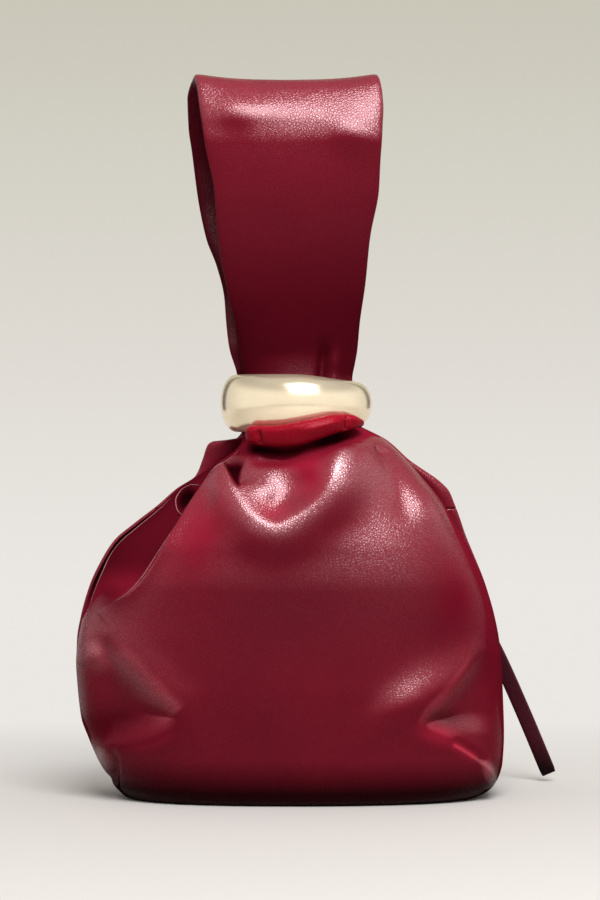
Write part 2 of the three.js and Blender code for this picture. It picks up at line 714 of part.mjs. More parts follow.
// The bangle: a domed section that swells at the left and front and thins to the right and rear
function ringGeometry() {
  const rings = [];
  for (let i = 0; i < RING_STEPS; i += 1) {
    const degrees = (i / RING_STEPS) * 360;
    const angle = THREE.MathUtils.degToRad(degrees);
    const value = (key) => smooth(RING_STATIONS, "angle", key, degrees);
    const outward = at(Math.cos(angle) / RING_BORE_X, Math.sin(angle) / RING_BORE_Y, 0).normalize();
    const bore = at(
      RING_CENTRE_X + RING_BORE_X * Math.cos(angle),
      RING_BORE_Y * Math.sin(angle),
      RING_Z + value("rise"),
    );
    const ring = [];
    for (let j = 0; j < RING_POINTS; j += 1) {
      const turn = (j / RING_POINTS) * 2 * Math.PI;
      const c = Math.cos(turn);
      const dome = RING_FLAT + (1 - RING_FLAT) * c;
      const radial = value("thick") * (c > 0 ? dome : RING_FLAT * (1 + c));
      const up = (value("height") / 2) * Math.sin(turn);
      ring.push(bore.clone().addScaledVector(outward, radial).addScaledVector(UP, up));
    }
    rings.push(ring.reverse());
  }
  return loft(rings, true);
}

// How the legs widen from their sewn ends in the neck to fill the bangle's bore
function legStations() {
  const inNeck = (z) => ({
    z,
    left: NECK.left - INNER_FACE,
    right: NECK.right - INNER_FACE,
    deep: NECK.front - INNER_FACE,
  });
  const inBore = (z, deep) => ({
    z,
    left: RING_BORE_X - 2 * CLEARANCE - RING_CENTRE_X,
    right: RING_BORE_X - 2 * CLEARANCE + RING_CENTRE_X,
    deep,
  });
  const root = {
    z: GATHER.z - LEG_ROOT_DROP,
    left: NECK.left - LEATHER - LEG_ROOT_INSET,
    right: NECK.right - LEATHER - LEG_ROOT_INSET,
    deep: LEG_ROOT_DEEP,
  };
  return [
    root,
    inNeck(NECK.z - LEATHER),
    inNeck(NECK.z + CLEARANCE),
    inBore(RING_Z, RING_BORE_Y - 2 * CLEARANCE),
    inBore(RING_Z + LEG_NIP_RISE, LEG_NIP_DEEP),
    inBore(LEG_TOP, FOLD_RADIUS),
  ];
}

// The two legs where they pass through the bangle, each half of a rounded section
function legGeometry(side) {
  const stations = legStations();
  const bottom = stations[0].z;
  const rings = [];
  for (let i = 0; i <= LEG_STEPS; i += 1) {
    const z = bottom + ((LEG_TOP - bottom) * i) / LEG_STEPS;
    const left = smooth(stations, "z", "left", z);
    const right = smooth(stations, "z", "right", z);
    const deep = smooth(stations, "z", "deep", z) - LEG_GAP / 2;
    const ring = [];
    for (let j = 0; j <= LEG_POINTS; j += 1) {
      const angle = (j / LEG_POINTS) * Math.PI;
      const x = (right - left) / 2 + (Math.cos(angle) * (right + left)) / 2;
      const y = LEG_GAP / 2 + Math.sin(angle) * deep;
      ring.push(at(x, side * y, z));
    }
    rings.push(side < 0 ? ring.reverse() : ring);
  }
  return loft(rings);
}

// The loop's stations with their distance along its outer face
function handleKnots() {
  let length = 0;
  return HANDLE_STATIONS.map((station, i) => {
    const before = HANDLE_STATIONS[Math.max(i - 1, 0)];
    length += Math.hypot(station.rise - before.rise, station.y - before.y);
    return { ...station, s: length };
  });
}

// One layer of the wrist loop between two shares of its thickness, cut round at the fold line
function handleLayer(from, to) {
  const knots = handleKnots();
  const length = knots[knots.length - 1].s;
  const value = (key, s) => smooth(knots, "s", key, s);
  const place = (s) => at(0, value("y", s), FOLD_Z + value("rise", s));
  const halfStep = length / HANDLE_STEPS / 2;
  const rings = [];
  for (let i = 0; i <= HANDLE_STEPS; i += 1) {
    const s = (i / HANDLE_STEPS) * length;
    const ahead = place(Math.min(s + halfStep, length));
    const behind = place(Math.max(s - halfStep, 0));
    const along = ahead.sub(behind).normalize();
    const inward = new THREE.Vector3().crossVectors(along, at(1, 0, 0)).normalize();
    const thinned = THREE.MathUtils.smoothstep(value("rise", s), 0, FOLD_BLEND);
    const legDepth = FOLD_RADIUS - LEG_GAP / 2;
    const thickness = THREE.MathUtils.lerp(legDepth, HANDLE_THICKNESS, thinned);
    const left = -value("left", s);
    const right = value("right", s);
    const low = from * thickness;
    const high = to * thickness;
    const point = (x, depth) => place(s).addScaledVector(inward, depth).setX(x);
    rings.push([
      point(left, low + HANDLE_EDGE),
      point(left + HANDLE_EDGE, low),
      point(right - HANDLE_EDGE, low),
      point(right, low + HANDLE_EDGE),
      point(right, high - HANDLE_EDGE),
      point(right - HANDLE_EDGE, high),
      point(left + HANDLE_EDGE, high),
      point(left, high - HANDLE_EDGE),
    ]);
  }
  const drum = bar(FOLD_RADIUS, FAR, 3 * ROUND_STEPS).translate([0, 0, FOLD_Z]);
  const above = box(at(-FAR / 2, -FAR, FOLD_Z), at(FAR / 2, FAR, FOLD_Z + FAR));
  return geometryOf(solid(loft(rings)).intersect(drum.add(above)));
}

function handlePieces() {
  const leatherShare = HANDLE_LEATHER / HANDLE_THICKNESS;
  const gapShare = CLEARANCE / HANDLE_THICKNESS;
  const paddingFrom = leatherShare + gapShare;
  return [
    named("handle_outer", handleLayer(0, leatherShare), leather),
    named("handle_padding", handleLayer(paddingFrom, 1 - paddingFrom), cloth),
    named("handle_inner", handleLayer(1 - leatherShare, 1), innerLeather),
  ];
}

const bag = new THREE.Group();
bag.add(...outerPanels());
bag.add(...basePieces());
bag.add(...liningPieces());
bag.add(named("zip_tape_upper", geometryOf(tapeSolid(1)), tapeCloth));
bag.add(named("zip_tape_lower", geometryOf(tapeSolid(-1)), tapeCloth));
bag.add(zipPieces());
bag.add(named("front_leg", legGeometry(-1), leather));
bag.add(named("rear_leg", legGeometry(1), leather));
bag.add(...handlePieces());
bag.add(named("neck_ring", ringGeometry(), gold));
const pull = named("pull_strap", geometryOf(pullSolid()), leather);
pull.position.copy(hinge);
bag.add(pull);

export default bag;
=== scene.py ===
import json
import math

import bmesh
import bpy
import numpy as np
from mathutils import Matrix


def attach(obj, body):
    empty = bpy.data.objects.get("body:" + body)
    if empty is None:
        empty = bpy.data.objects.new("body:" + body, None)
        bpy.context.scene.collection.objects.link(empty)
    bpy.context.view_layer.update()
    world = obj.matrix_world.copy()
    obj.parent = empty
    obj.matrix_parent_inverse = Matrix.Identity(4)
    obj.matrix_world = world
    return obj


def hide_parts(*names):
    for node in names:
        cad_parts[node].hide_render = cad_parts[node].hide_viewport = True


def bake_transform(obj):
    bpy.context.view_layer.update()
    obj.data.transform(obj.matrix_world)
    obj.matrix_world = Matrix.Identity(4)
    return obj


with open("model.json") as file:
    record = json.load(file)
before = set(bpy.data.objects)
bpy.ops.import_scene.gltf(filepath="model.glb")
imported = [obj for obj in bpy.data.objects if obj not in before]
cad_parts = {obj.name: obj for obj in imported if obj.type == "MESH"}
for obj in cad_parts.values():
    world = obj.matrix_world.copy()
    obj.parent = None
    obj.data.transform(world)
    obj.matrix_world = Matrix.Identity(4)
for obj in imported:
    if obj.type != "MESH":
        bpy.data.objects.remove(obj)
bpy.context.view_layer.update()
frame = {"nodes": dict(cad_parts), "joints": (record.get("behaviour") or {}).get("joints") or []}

MM = 0.001

# The camera, found from the photograph: level with the bangle and nearly square to the front

EYE_HEIGHT = 210.0
EYE_DISTANCE = 1600.0
MM_PER_PIXEL = 0.522  # at the middle of the bag
PIXEL_X = 293.0  # the picture's column and row that the eye's level line passes through
PIXEL_Y = 394.0
FRAME_WIDTH = 600
FRAME_HEIGHT = 900
SENSOR_HEIGHT = 24.0


def to_picture(points):
    """Columns and rows of points in millimetres, as the photograph shows them."""
    scale = EYE_DISTANCE / (EYE_DISTANCE + points[..., 1]) / MM_PER_PIXEL
    column = PIXEL_X + points[..., 0] * scale
    row = PIXEL_Y - (points[..., 2] - EYE_HEIGHT) * scale
    return np.stack([column, row], axis=-1)


def make_camera():
    middle_x = (FRAME_WIDTH / 2 - PIXEL_X) * MM_PER_PIXEL
    middle_z = EYE_HEIGHT - (FRAME_HEIGHT / 2 - PIXEL_Y) * MM_PER_PIXEL
    data = bpy.data.cameras.new("camera")
    data.sensor_fit = "VERTICAL"
    data.sensor_height = SENSOR_HEIGHT
    data.lens = SENSOR_HEIGHT * EYE_DISTANCE / (FRAME_HEIGHT * MM_PER_PIXEL)
    camera = bpy.data.objects.new("camera", data)
    tilt = math.atan2(EYE_HEIGHT - middle_z, EYE_DISTANCE)
    camera.location = (middle_x * MM, -EYE_DISTANCE * MM, EYE_HEIGHT * MM)
    camera.rotation_euler = (math.pi / 2 - tilt, 0.0, 0.0)
    bpy.context.scene.collection.objects.link(camera)
    bpy.context.scene.camera = camera


# Curves and meshes

TINY = 1e-12
ROUND = 2.0  # squareness of a round section


def smooth_curve(xs, ys, at):
    """Values on a smooth curve through the stations that never overshoots them."""
    xs = np.asarray(xs, float)
    ys = np.asarray(ys, float)
    slope = np.diff(ys) / np.diff(xs)
    tangent = np.concatenate([slope[:1], np.zeros(len(xs) - 2), slope[-1:]])
    before, after = slope[:-1], slope[1:]
    same = before * after > 0
    tangent[1:-1][same] = 2 * before[same] * after[same] / (before[same] + after[same])
    at = np.clip(at, xs[0], xs[-1])
    i = np.clip(np.searchsorted(xs, at, side="right") - 1, 0, len(xs) - 2)
    span = xs[i + 1] - xs[i]
    t = (at - xs[i]) / span
    start = ys[i] * (1 + (2 * t - 3) * t * t)
    end = ys[i + 1] * (3 - 2 * t) * t * t
    leave = tangent[i] * span * t * (1 - t) ** 2
    arrive = tangent[i + 1] * span * t * t * (t - 1)
    return start + end + leave + arrive


def reach(table, at, column=1):
    """A column of a table of stations, at places along its first column."""
    stations = np.array(table, float)
    return smooth_curve(stations[:, 0], stations[:, column], at)


def through(points, steps=8):
    """A smooth line of many points through a few."""
    points = np.asarray(points, float)
    if len(points) < 3:
        return points
    padded = np.vstack([2 * points[0] - points[1], points, 2 * points[-1] - points[-2]])
    line = []
    for a, b, c, d in zip(padded, padded[1:], padded[2:], padded[3:]):
        for t in np.arange(steps) / steps:
            line.append(
                0.5 * (2 * b + (c - a) * t + (2 * a - 5 * b + 4 * c - d) * t * t
                       + (3 * b - a - 3 * c + d) * t**3)
            )
    line.append(points[-1])
    return np.array(line)


def run_length(points):
    """How far along a line each of its points lies."""
    steps = np.linalg.norm(np.diff(points, axis=0), axis=1)
    return np.concatenate([[0.0], np.cumsum(steps)])


def smoothstep(low, high, value):
    t = np.clip((value - low) / (high - low), 0.0, 1.0)
    return t * t * (3 - 2 * t)


def signed_power(values, power):
    """A power that keeps the sign. Below one it squares off a circle's sine and cosine."""
    return np.sign(values) * np.abs(values) ** power


def tapered(count, power, least):
    """Shares of a full width along a thread that is rounded off at both ends."""
    way = np.linspace(-1, 1, count)
    return np.sqrt(np.clip(1 - way**power, least, 1.0))


def grid_normals(grid, wrap=False):
    """Unit normals of a grid of points, from its rows and columns."""
    along = np.gradient(grid, axis=0)
    if wrap:
        ringed = np.concatenate([grid[:, -1:], grid, grid[:, :1]], axis=1)
        across = np.gradient(ringed, axis=1)[:, 1:-1]
    else:
        across = np.gradient(grid, axis=1)
    normal = np.cross(across, along)
    length = np.linalg.norm(normal, axis=-1, keepdims=True)
    return normal / np.maximum(length, TINY)


def grid_faces(rows, columns, wrap, start=0):
    i, j = np.meshgrid(np.arange(rows - 1), np.arange(columns - (0 if wrap else 1)), indexing="ij")
    k = (j + 1) % columns
    faces = np.stack(
        [i * columns + j, i * columns + k, (i + 1) * columns + k, (i + 1) * columns + j], axis=-1
    )
    return faces.reshape(-1, 4) + start


def tube_faces(rows, columns):
    """Faces of a tube along its rows, closed at both ends."""
    faces = grid_faces(rows, columns, True).tolist()
    faces.append(list(range(columns))[::-1])
    faces.append([(rows - 1) * columns + j for j in range(columns)])
    return faces


def ring_faces(rows, columns):
    """Faces of a ring that closes both along its rows and along its columns."""
    i, j = np.meshgrid(np.arange(rows), np.arange(columns), indexing="ij")
    next_i = (i + 1) % rows
    next_j = (j + 1) % columns
    corners = [(i, j), (next_i, j), (next_i, next_j), (i, next_j)]
    return np.stack([row * columns + column for row, column in corners], axis=-1).reshape(-1, 4)


def new_object(name, vertices, faces, body, material, smooth=True, shades=None):
    """A mesh piece in millimetres that rides on a body. Its shades are values at each point
    that its material reads, such as the light and shade painted into its leather's colour and
    how glossy its leather is."""
    mesh = bpy.data.meshes.new(name)
    mesh.from_pydata((np.asarray(vertices) * MM).tolist(), [], [list(map(int, f)) for f in faces])
    turned = bmesh.new()
    turned.from_mesh(mesh)
    bmesh.ops.recalc_face_normals(turned, faces=turned.faces)
    turned.to_mesh(mesh)
    turned.free()
    mesh.polygons.foreach_set("use_smooth", [smooth] * len(mesh.polygons))
    mesh.materials.append(material)
    for shade, values in (shades or {}).items():
        mesh.attributes.new(shade, "FLOAT", "POINT").data.foreach_set("value", values)
    piece = bpy.data.objects.new(name, mesh)
    bpy.context.scene.collection.objects.link(piece)
    if body:
        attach(piece, body)
    return piece


def sheet_mesh(outer, inner):
    """A closed sheet between an outer grid and an inner grid of the same shape."""
    rows, columns = outer.shape[:2]
    count = rows * columns
    vertices = np.vstack([outer.reshape(-1, 3), inner.reshape(-1, 3)])
    front = grid_faces(rows, columns, False)
    back = grid_faces(rows, columns, False, count)[:, ::-1]
    index = np.arange(count).reshape(rows, columns)
    border = np.concatenate(
        [index[0, :-1], index[:-1, -1], index[-1, :0:-1], index[:0:-1, 0]]
    )
    after = np.roll(border, -1)
    rim = np.stack([after, border, border + count, after + count], axis=-1)
    return vertices, np.vstack([front, back, rim])


def swept(points, across_hint, widths, thicknesses, columns=24, squareness=4.0):
    """A closed strap or thread along points, with a rounded rectangular or round section."""
    along = np.gradient(points, axis=0)
    along /= np.linalg.norm(along, axis=-1, keepdims=True)
    out = np.cross(along, across_hint)
    out /= np.linalg.norm(out, axis=-1, keepdims=True)
    across = np.cross(out, along)
    turn = np.linspace(0, 2 * np.pi, columns, endpoint=False)
    a = signed_power(np.cos(turn), 2 / squareness)
    b = signed_power(np.sin(turn), 2 / squareness)
    grid = (points[:, None, :]
            + across[:, None, :] * (a[None, :] * widths[:, None] / 2)[..., None]
            + out[:, None, :] * (b[None, :] * thicknesses[:, None] / 2)[..., None])
    return grid.reshape(-1, 3), tube_faces(len(points), columns)


# Folds, drawn over the picture and pressed into a surface

CREASE_MARGIN = 3  # a crease ends this many widths from its line


def line_distance(places, line):
    """Distance to a line, its side (positive at the line's left in the picture), and how far
    along the line the nearest point is."""
    best = np.full(len(places), np.inf)
    side = np.zeros(len(places))
    share = np.zeros(len(places))
    travelled = run_length(line)
    for i, (a, b) in enumerate(zip(line, line[1:])):
        step = travelled[i + 1] - travelled[i]
        along = (b - a) / max(step, TINY)
        offset = places - a
        t = np.clip(offset @ along, 0.0, step)
        gap = offset - t[:, None] * along
        distance = np.hypot(gap[:, 0], gap[:, 1])
        nearer = distance < best
        best[nearer] = distance[nearer]
        turn = along[1] * offset[:, 0] - along[0] * offset[:, 1]
        side[nearer] = np.sign(turn[nearer])
        share[nearer] = ((travelled[i] + t) / travelled[-1])[nearer]
    return best, side, share


def crease(places, points, height, left, right=None, fade=(0.15, 0.15)):
    """A ridge, or with a negative height a valley, along a line, with its own width on each
    side and fading towards its ends. Widths in pixels, height in millimetres."""
    right = left if right is None else right
    line = through(points)
    margin = CREASE_MARGIN * max(left, right)
    low = line.min(axis=0) - margin
    high = line.max(axis=0) + margin
    near = np.all((places > low) & (places < high), axis=1)
    lift = np.zeros(len(places))
    if not near.any():
        return lift
    distance, side, share = line_distance(places[near], line)
    width = np.where(side > 0, left, right)
    ends = np.ones(len(share))
    if fade[0] > 0:
        ends = ends * smoothstep(0.0, fade[0], share)
    if fade[1] > 0:
        ends = ends * smoothstep(0.0, fade[1], 1 - share)
    lift[near] = height * np.exp(-((distance / width) ** 2)) * ends
    return lift


def overlap(places, points, rise, drop, inside, outside):
    """A fold that swells up to a line from its right and drops behind it on its left."""
    distance, side, _ = line_distance(places, through(points))
    swell = rise * np.exp(-((distance / outside) ** 2))
    sunk = (rise + drop) * np.exp(-((distance / inside) ** 2)) - drop
    return np.where(side > 0, sunk, swell)


def beyond(places, points, soft):
    """Rises from 0 at a line to 1 a few pixels away on its right in the picture."""
    distance, side, _ = line_distance(places, through(points))
    return np.where(side > 0, 0.0, smoothstep(0.0, soft, distance))


def mound(places, centre, radii, height, turn=0.0, steep=1):
    """A rounded mound, or with a negative height a hollow. Turned in degrees, clockwise. The
    steeper it is, the flatter its middle."""
    angle = math.radians(turn)
    offset = places - np.asarray(centre, float)
    along = offset[:, 0] * math.cos(angle) + offset[:, 1] * math.sin(angle)
    across = -offset[:, 0] * math.sin(angle) + offset[:, 1] * math.cos(angle)
    return height * np.exp(-(((along / radii[0]) ** 2 + (across / radii[1]) ** 2) ** steep))


def relief(places, mounds, creases):
    """What named mounds and creases add up to at each place."""
    total = np.zeros(len(places))
    for shape in mounds.values():
        total += mound(places, *shape)
    for line in creases.values():
        total += crease(places, *line)
    return total


def over_columns(places, band):
    """Rises from 0 to 1 over a band of the picture's columns."""
    return smoothstep(*band, places[:, 0])


def over_rows(places, band):
    """Rises from 0 to 1 over a band of the picture's rows."""
    return smoothstep(*band, places[:, 1])


# The pouch's shell

OUTLINE_LEFT = [  # height and reach to the left, from the picture's outline
    (0, 87), (3, 90.5), (7, 94), (10, 95), (14, 98.5), (20, 102), (31.6, 107), (41.5, 110.5),
    (58.7, 112.5), (70.7, 113.2), (81.7, 112.2), (94.2, 109.6), (109.9, 104.8), (121.9, 99.2),
    (133.4, 91.9), (142.2, 81.4), (151.6, 69.4), (160.5, 60), (167.3, 50), (174, 39.5),
    (181, 30), (186, 26.5), (193, 25),
]
OUTLINE_RIGHT = [
    (0, 95), (3, 101.5), (7, 105.5), (12, 108), (17.5, 109.4), (32.6, 110.2), (52.5, 109.6),
    (72.8, 108.6), (81.7, 107.6), (95.8, 104.8), (110.9, 100.2), (129.2, 92), (139, 86.5),
    (148.5, 81), (157.4, 75), (166.3, 67.5), (174, 60.5), (186, 48), (193, 35.5),
]
DEPTH_FRONT = [(0, 43), (3, 46.5), (7, 48.6), (12, 50), (62, 57), (110, 56), (130, 53.6),
               (146, 49.6), (158, 46), (165, 43.6), (175, 40), (181.5, 36), (185.5, 31),
               (189, 25.5), (193, 23.4)]
DEPTH_BACK = [(0, 43), (3, 46), (7, 48), (12, 49), (62, 54), (110, 51), (146, 44.5),
              (174, 32), (184, 26), (193, 20.6)]
FRONT_SQUARENESS = 2.4
BACK_SQUARENESS = 6.0
SEAM_Y = 14.0
NECK_Z = 193.0
BOTTOM_Z = 1.0
LEATHER = 1.8
PROFILE_SAMPLES = 600


def shell_point(turn, height, inset=0.0):
    """Points of the pouch's outer face. The turn is in radians, 0 to the right and pi/2 to
    the back."""
    cosine, sine = np.cos(turn), np.sin(turn)
    side = np.where(cosine > 0, reach(OUTLINE_RIGHT, height), reach(OUTLINE_LEFT, height)) - inset
    depth = np.where(sine < 0, reach(DEPTH_FRONT, height), reach(DEPTH_BACK, height)) - inset
    power = np.where(sine < 0, FRONT_SQUARENESS, BACK_SQUARENESS)
    radius = ((np.abs(cosine) / side) ** power + (np.abs(sine) / depth) ** power) ** (-1 / power)
    return np.stack([radius * cosine, radius * sine, height], axis=-1)


def seam_turn(height, right):
    """The turn at which the shell crosses the side seam."""
    side = reach(OUTLINE_RIGHT if right else OUTLINE_LEFT, height)
    depth = reach(DEPTH_BACK, height)
    across = side * (1 - (SEAM_Y / depth) ** BACK_SQUARENESS) ** (1 / BACK_SQUARENESS)
    angle = np.arctan2(SEAM_Y, across)
    return angle if right else np.pi - angle


def rows_of(table, low, high, step):
    """Heights spaced evenly along a profile of height and depth."""
    dense = np.linspace(low, high, PROFILE_SAMPLES)
    length = run_length(np.stack([dense, reach(table, dense)], axis=-1))
    count = int(round(length[-1] / step)) + 1
    return np.interp(np.linspace(0, length[-1], count), length, dense)


def shell_grid(heights, start, end, columns):
    """A grid of the shell from one turn to another at each height."""
    share = np.linspace(0.0, 1.0, columns)
    turn = start[:, None] + (end - start)[:, None] * share[None, :]
    height = np.repeat(heights[:, None], columns, axis=1)
    return shell_point(turn, height)


# The front's lines, as columns and rows of the picture

SIDE_FOLD = [(236, 450), (219, 460), (202, 480), (185, 506), (168, 534), (147, 569),
             (129, 590), (110, 602)]
SIDE_EDGE = [(238, 449), (222, 461), (211, 472), (201, 487), (192, 500), (182, 516), (175, 527),
             (165, 542), (154, 559), (143, 576), (132, 589), (123, 597), (114, 602)]
OUTER_EDGE = [(170, 497), (149, 517), (126, 537), (112, 553), (102, 574), (95, 591), (89, 610)]
EAR_EDGE = [(200, 486), (192, 485), (183, 489), (177, 497), (176, 504), (178, 511), (183, 516)]
LEFT_RIDGE = [(104, 636), (124, 655), (146, 677), (166, 697), (181, 713)]
RIGHT_EDGE = [(474, 652), (466, 666), (455, 680), (440, 697), (426, 713), (421, 723), (424, 731)]
UNDER_LIP = [(244, 448), (262, 450), (288, 452), (315, 445), (340, 435), (360, 430)]
NOTCH = [(227, 458), (232, 467), (237, 477), (243, 489)]
NOTCH_LEFT = [(222, 459), (229, 471), (236, 482), (244, 493)]
NOTCH_RIGHT = [(252, 450), (247, 463), (243, 475), (242, 490)]
U_FOLD = [(217, 455), (225, 476), (236, 500), (247, 515), (260, 525), (275, 530), (288, 526),
          (306, 515), (321, 503), (332, 487), (339, 466), (345, 446)]
LEFT_DENT = [(104, 755), (126, 751), (148, 746), (166, 738), (179, 728), (184, 717), (178, 706),
             (164, 692), (146, 672), (128, 652), (112, 632)]
RIGHT_DENT = [(476, 646), (466, 662), (453, 681), (437, 702), (424, 714), (419, 722), (424, 730),
              (440, 737), (458, 745), (476, 756), (498, 774)]

# Mounds: centre and radii in pixels, height in millimetres, turn in degrees, steepness.
# Creases: line, height, width to its left and to its right, fades at its start and its end.
# Overlaps: line, rise, drop, width inside and outside. Shades have a share instead of a height.

FRONT_MOUNDS = {
    "tip of the side fold": ((118, 585), (16, 20), 1.6, 30),
    "swelling right of the hollow": ((312, 466), (25, 24), 4.2, -20),
    "swelling left of the hollow": ((264, 490), (17, 18), 3.2, -16),
    "right shoulder": ((352, 482), (26, 44), 3.0, 38),
    "edge of the shoulder": ((426, 506), (15, 34), 3.0, -28),
    "pillow above the right dent": ((404, 706), (50, 19), 3.6, -40),
    "right corner": ((489, 777), (6, 11), 2.4, -20),
}
FRONT_CREASES = {
    "behind the side fold": (SIDE_FOLD, -5.5, 1.8, 26, (0.15, 0.4)),
    "side fold": (SIDE_EDGE, 1.4, 9, 2.5, (0.1, 0.35)),
    "notch": (NOTCH, -5.0, 9, 4, (0.2, 0.3)),
    "tuck under the lip": (UNDER_LIP, -3.4, 5, 9, (0.15, 0.25)),
    "valley of the shoulder": ([(366, 440), (388, 462), (401, 490), (409, 530)], -2.4, 12, 12,
                               (0.2, 0.4)),
    "pleat of the shoulder": ([(372, 445), (385, 450), (397, 454)], -1.8, 2.5, 5, (0.4, 0.3)),
    "side above the left dent": ([(90, 640), (100, 664), (113, 688)], 1.4, 9, 9, (0.4, 0.4)),
    "left corner": ([(110, 745), (114, 760), (113, 790)], -3.4, 4, 5, (0.4, 0.0)),
    "valley of the right corner": ([(450, 741), (464, 748), (488, 764)], -1.2, 4, 3),
}
# Painted light and shade on the front: negative shares paint shadow into the colour, as under the
# lip, in the notch and in the dents; positive ones paint it lighter where light falls, as on ridges
# and facets that face up.
PAINTED_SHADING_MOUNDS = {
    "middle": ((300, 596), (130, 62), -0.22, 8),
    "right side": ((440, 600), (40, 60), -0.15),
    "right of the hollow": ((312, 474), (24, 26), 0.35, -10),
    "foot of the hollow": ((272, 512), (20, 10), 0.5, 10),
    "top of the notch": ((238, 456), (12, 9), -0.35, -20),
    "left of the neck": ((216, 520), (20, 36), 0.08, 25),
    "side above the left dent": ((96, 652), (12, 26), 0.4, -20),
    "left dent": ((118, 722), (44, 16), -0.4, 2),
    "right dent": ((446, 719), (24, 9), -0.5, 8),
    "below the right dent": ((438, 738), (19, 8), 0.9, 18),
    "right corner": ((490, 775), (5, 11), 0.8, -20),
}
PAINTED_SHADING_CREASES = {
    "under the lip": (UNDER_LIP, -0.95, 7, 7, (0.1, 0.2)),
    "ridge of the left dent": (LEFT_RIDGE, 0.5, 7, 14, (0.3, 0.05)),
    "edge of the right dent": (RIGHT_EDGE, 0.45, 12, 3, (0.25, 0.1)),
    "foot of the left dent": ([(120, 752), (148, 748), (166, 740), (179, 728)], 0.3, 6, 4,
                              (0.3, 0.3)),
    "ridge of the right corner": ([(450, 742), (462, 748), (480, 760)], 0.9, 3, 5, (0.2, 0.2)),
}
SHEEN_MOUNDS = {
    "behind the side fold": ((180, 560), (50, 70), -0.6, -35),
    "right side": ((494, 690), (12, 90), -0.9),
    "left of the hollow": ((258, 476), (22, 20), 0.6),
    "left of the neck": ((214, 522), (26, 50), -0.65, 25),
    "right shoulder": ((362, 478), (44, 32), 0.5, 35),
    "edge of the shoulder": ((430, 510), (16, 30), 0.5, -28),
    "below the shoulder": ((458, 600), (46, 84), -1.0),
    "hollow": ((310, 474), (18, 26), -1.1, -20),
    "left dent": ((125, 730), (62, 22), -0.9, -4, 2),
    "right dent": ((455, 742), (44, 14), -0.7, 28),
    "left corner": ((101, 756), (7, 15), 1.3, -35),
    "right corner": ((490, 775), (6, 12), 2.2, -20),
}
SHEEN_CREASES = {
    "ridge round the hollow": (U_FOLD, 0.6, 8, 12, (0.0, 0.0)),
    "under the lip": (UNDER_LIP, -1.6, 14, 12, (0.0, 0.0)),
    "ridge of the left dent": (LEFT_RIDGE, 0.85, 6, 15, (0.3, 0.05)),
    "side above the left dent": ([(86, 636), (98, 654), (108, 676)], 0.7, 10, 10, (0.4, 0.4)),
    "edge of the right dent": (RIGHT_EDGE, 0.55, 9, 3, (0.25, 0.1)),
}
EAR = ((187, 499), (9, 13), 1.0, 22, 2)  # the small hollow in the layer behind the side fold
EAR_DEPTH = 4.0
# painted shade in that hollow
EAR_SHADE = 0.4
HOLLOW_OVERLAP = (U_FOLD, 4.5, 4.5, 20, 27)
LEFT_OVERLAP = (LEFT_DENT, 1.2, 5.0, 21, 20)
RIGHT_OVERLAP = (RIGHT_DENT, 2.0, 3.2, 14, 18)

EDGE_SOFT = 1.5  # pixels over which a layer sets in behind an edge
NOTCH_SOFT_LEFT = 2.0
NOTCH_SOFT_RIGHT = 5.0

# Bands of rows or columns over which these begin or end

NOTCH_BEGINS = (457.0, 470.0)
NOTCH_ENDS = (484.0, 494.0)
HOLLOW_BEGINS = (440.0, 457.0)
HOLLOW_LEFT = (196.0, 222.0)
LEFT_DENT_COLUMNS = (84.0, 112.0)
LEFT_DENT_ROWS = (600.0, 690.0)
RIGHT_DENT_ENDS = (476.0, 500.0)
RIGHT_DENT_ROWS = (630.0, 690.0)
FLAP_COLUMNS = (440.0, 470.0)
FLAP_ROWS = (712.0, 738.0)
NECK_ENDS = (232.0, 240.0)
BEHIND_FADES = (560.0, 598.0)
BEHIND_SHINES = (590.0, 625.0)
OUTER_BEGINS = (486.0, 510.0)
OUTER_ENDS = (590.0, 612.0)
FOOT_ROWS = (758.0, 786.0)

# How strongly these flatten the leather, paint shade into its colour or dull it

FLAP_EASE = 0.75  # at the corner that the lower edge of the right dent runs to
NOTCH_SHADE = 0.9
BEHIND_SHADE = 0.55
OUTER_SHADE = 0.7
DARKEST = -0.95
FOOT_DULL = 0.55
NOTCH_DULL = 1.6


def in_notch(places):
    """The wedge between the side fold and the hollow below the neck."""
    rows = over_rows(places, NOTCH_BEGINS) * (1 - over_rows(places, NOTCH_ENDS))
    left = 1 - beyond(places, NOTCH_LEFT, NOTCH_SOFT_LEFT)
    return rows * left * beyond(places, NOTCH_RIGHT, NOTCH_SOFT_RIGHT)


def behind_fold(places, end):
    """The layer behind the side fold, down to a band of rows where it ends."""
    shown = beyond(places, SIDE_EDGE, EDGE_SOFT) * (1 - over_rows(places, end))
    return shown * (1 - over_columns(places, NECK_ENDS))


def front_folds(places):
    """How far the front stands out from its plain shell, in millimetres."""
    lift = relief(places, FRONT_MOUNDS, FRONT_CREASES)
    lift -= EAR_DEPTH * beyond(places, SIDE_EDGE, EDGE_SOFT) * mound(places, *EAR)
    below_neck = over_rows(places, HOLLOW_BEGINS) * over_columns(places, HOLLOW_LEFT)
    lift += below_neck * overlap(places, *HOLLOW_OVERLAP)
    left = over_columns(places, LEFT_DENT_COLUMNS) * over_rows(places, LEFT_DENT_ROWS)
    lift += left * overlap(places, *LEFT_OVERLAP)
    right = (1 - over_columns(places, RIGHT_DENT_ENDS)) * over_rows(places, RIGHT_DENT_ROWS)
    right *= 1 - FLAP_EASE * over_columns(places, FLAP_COLUMNS) * over_rows(places, FLAP_ROWS)
    return lift + right * overlap(places, *RIGHT_OVERLAP)


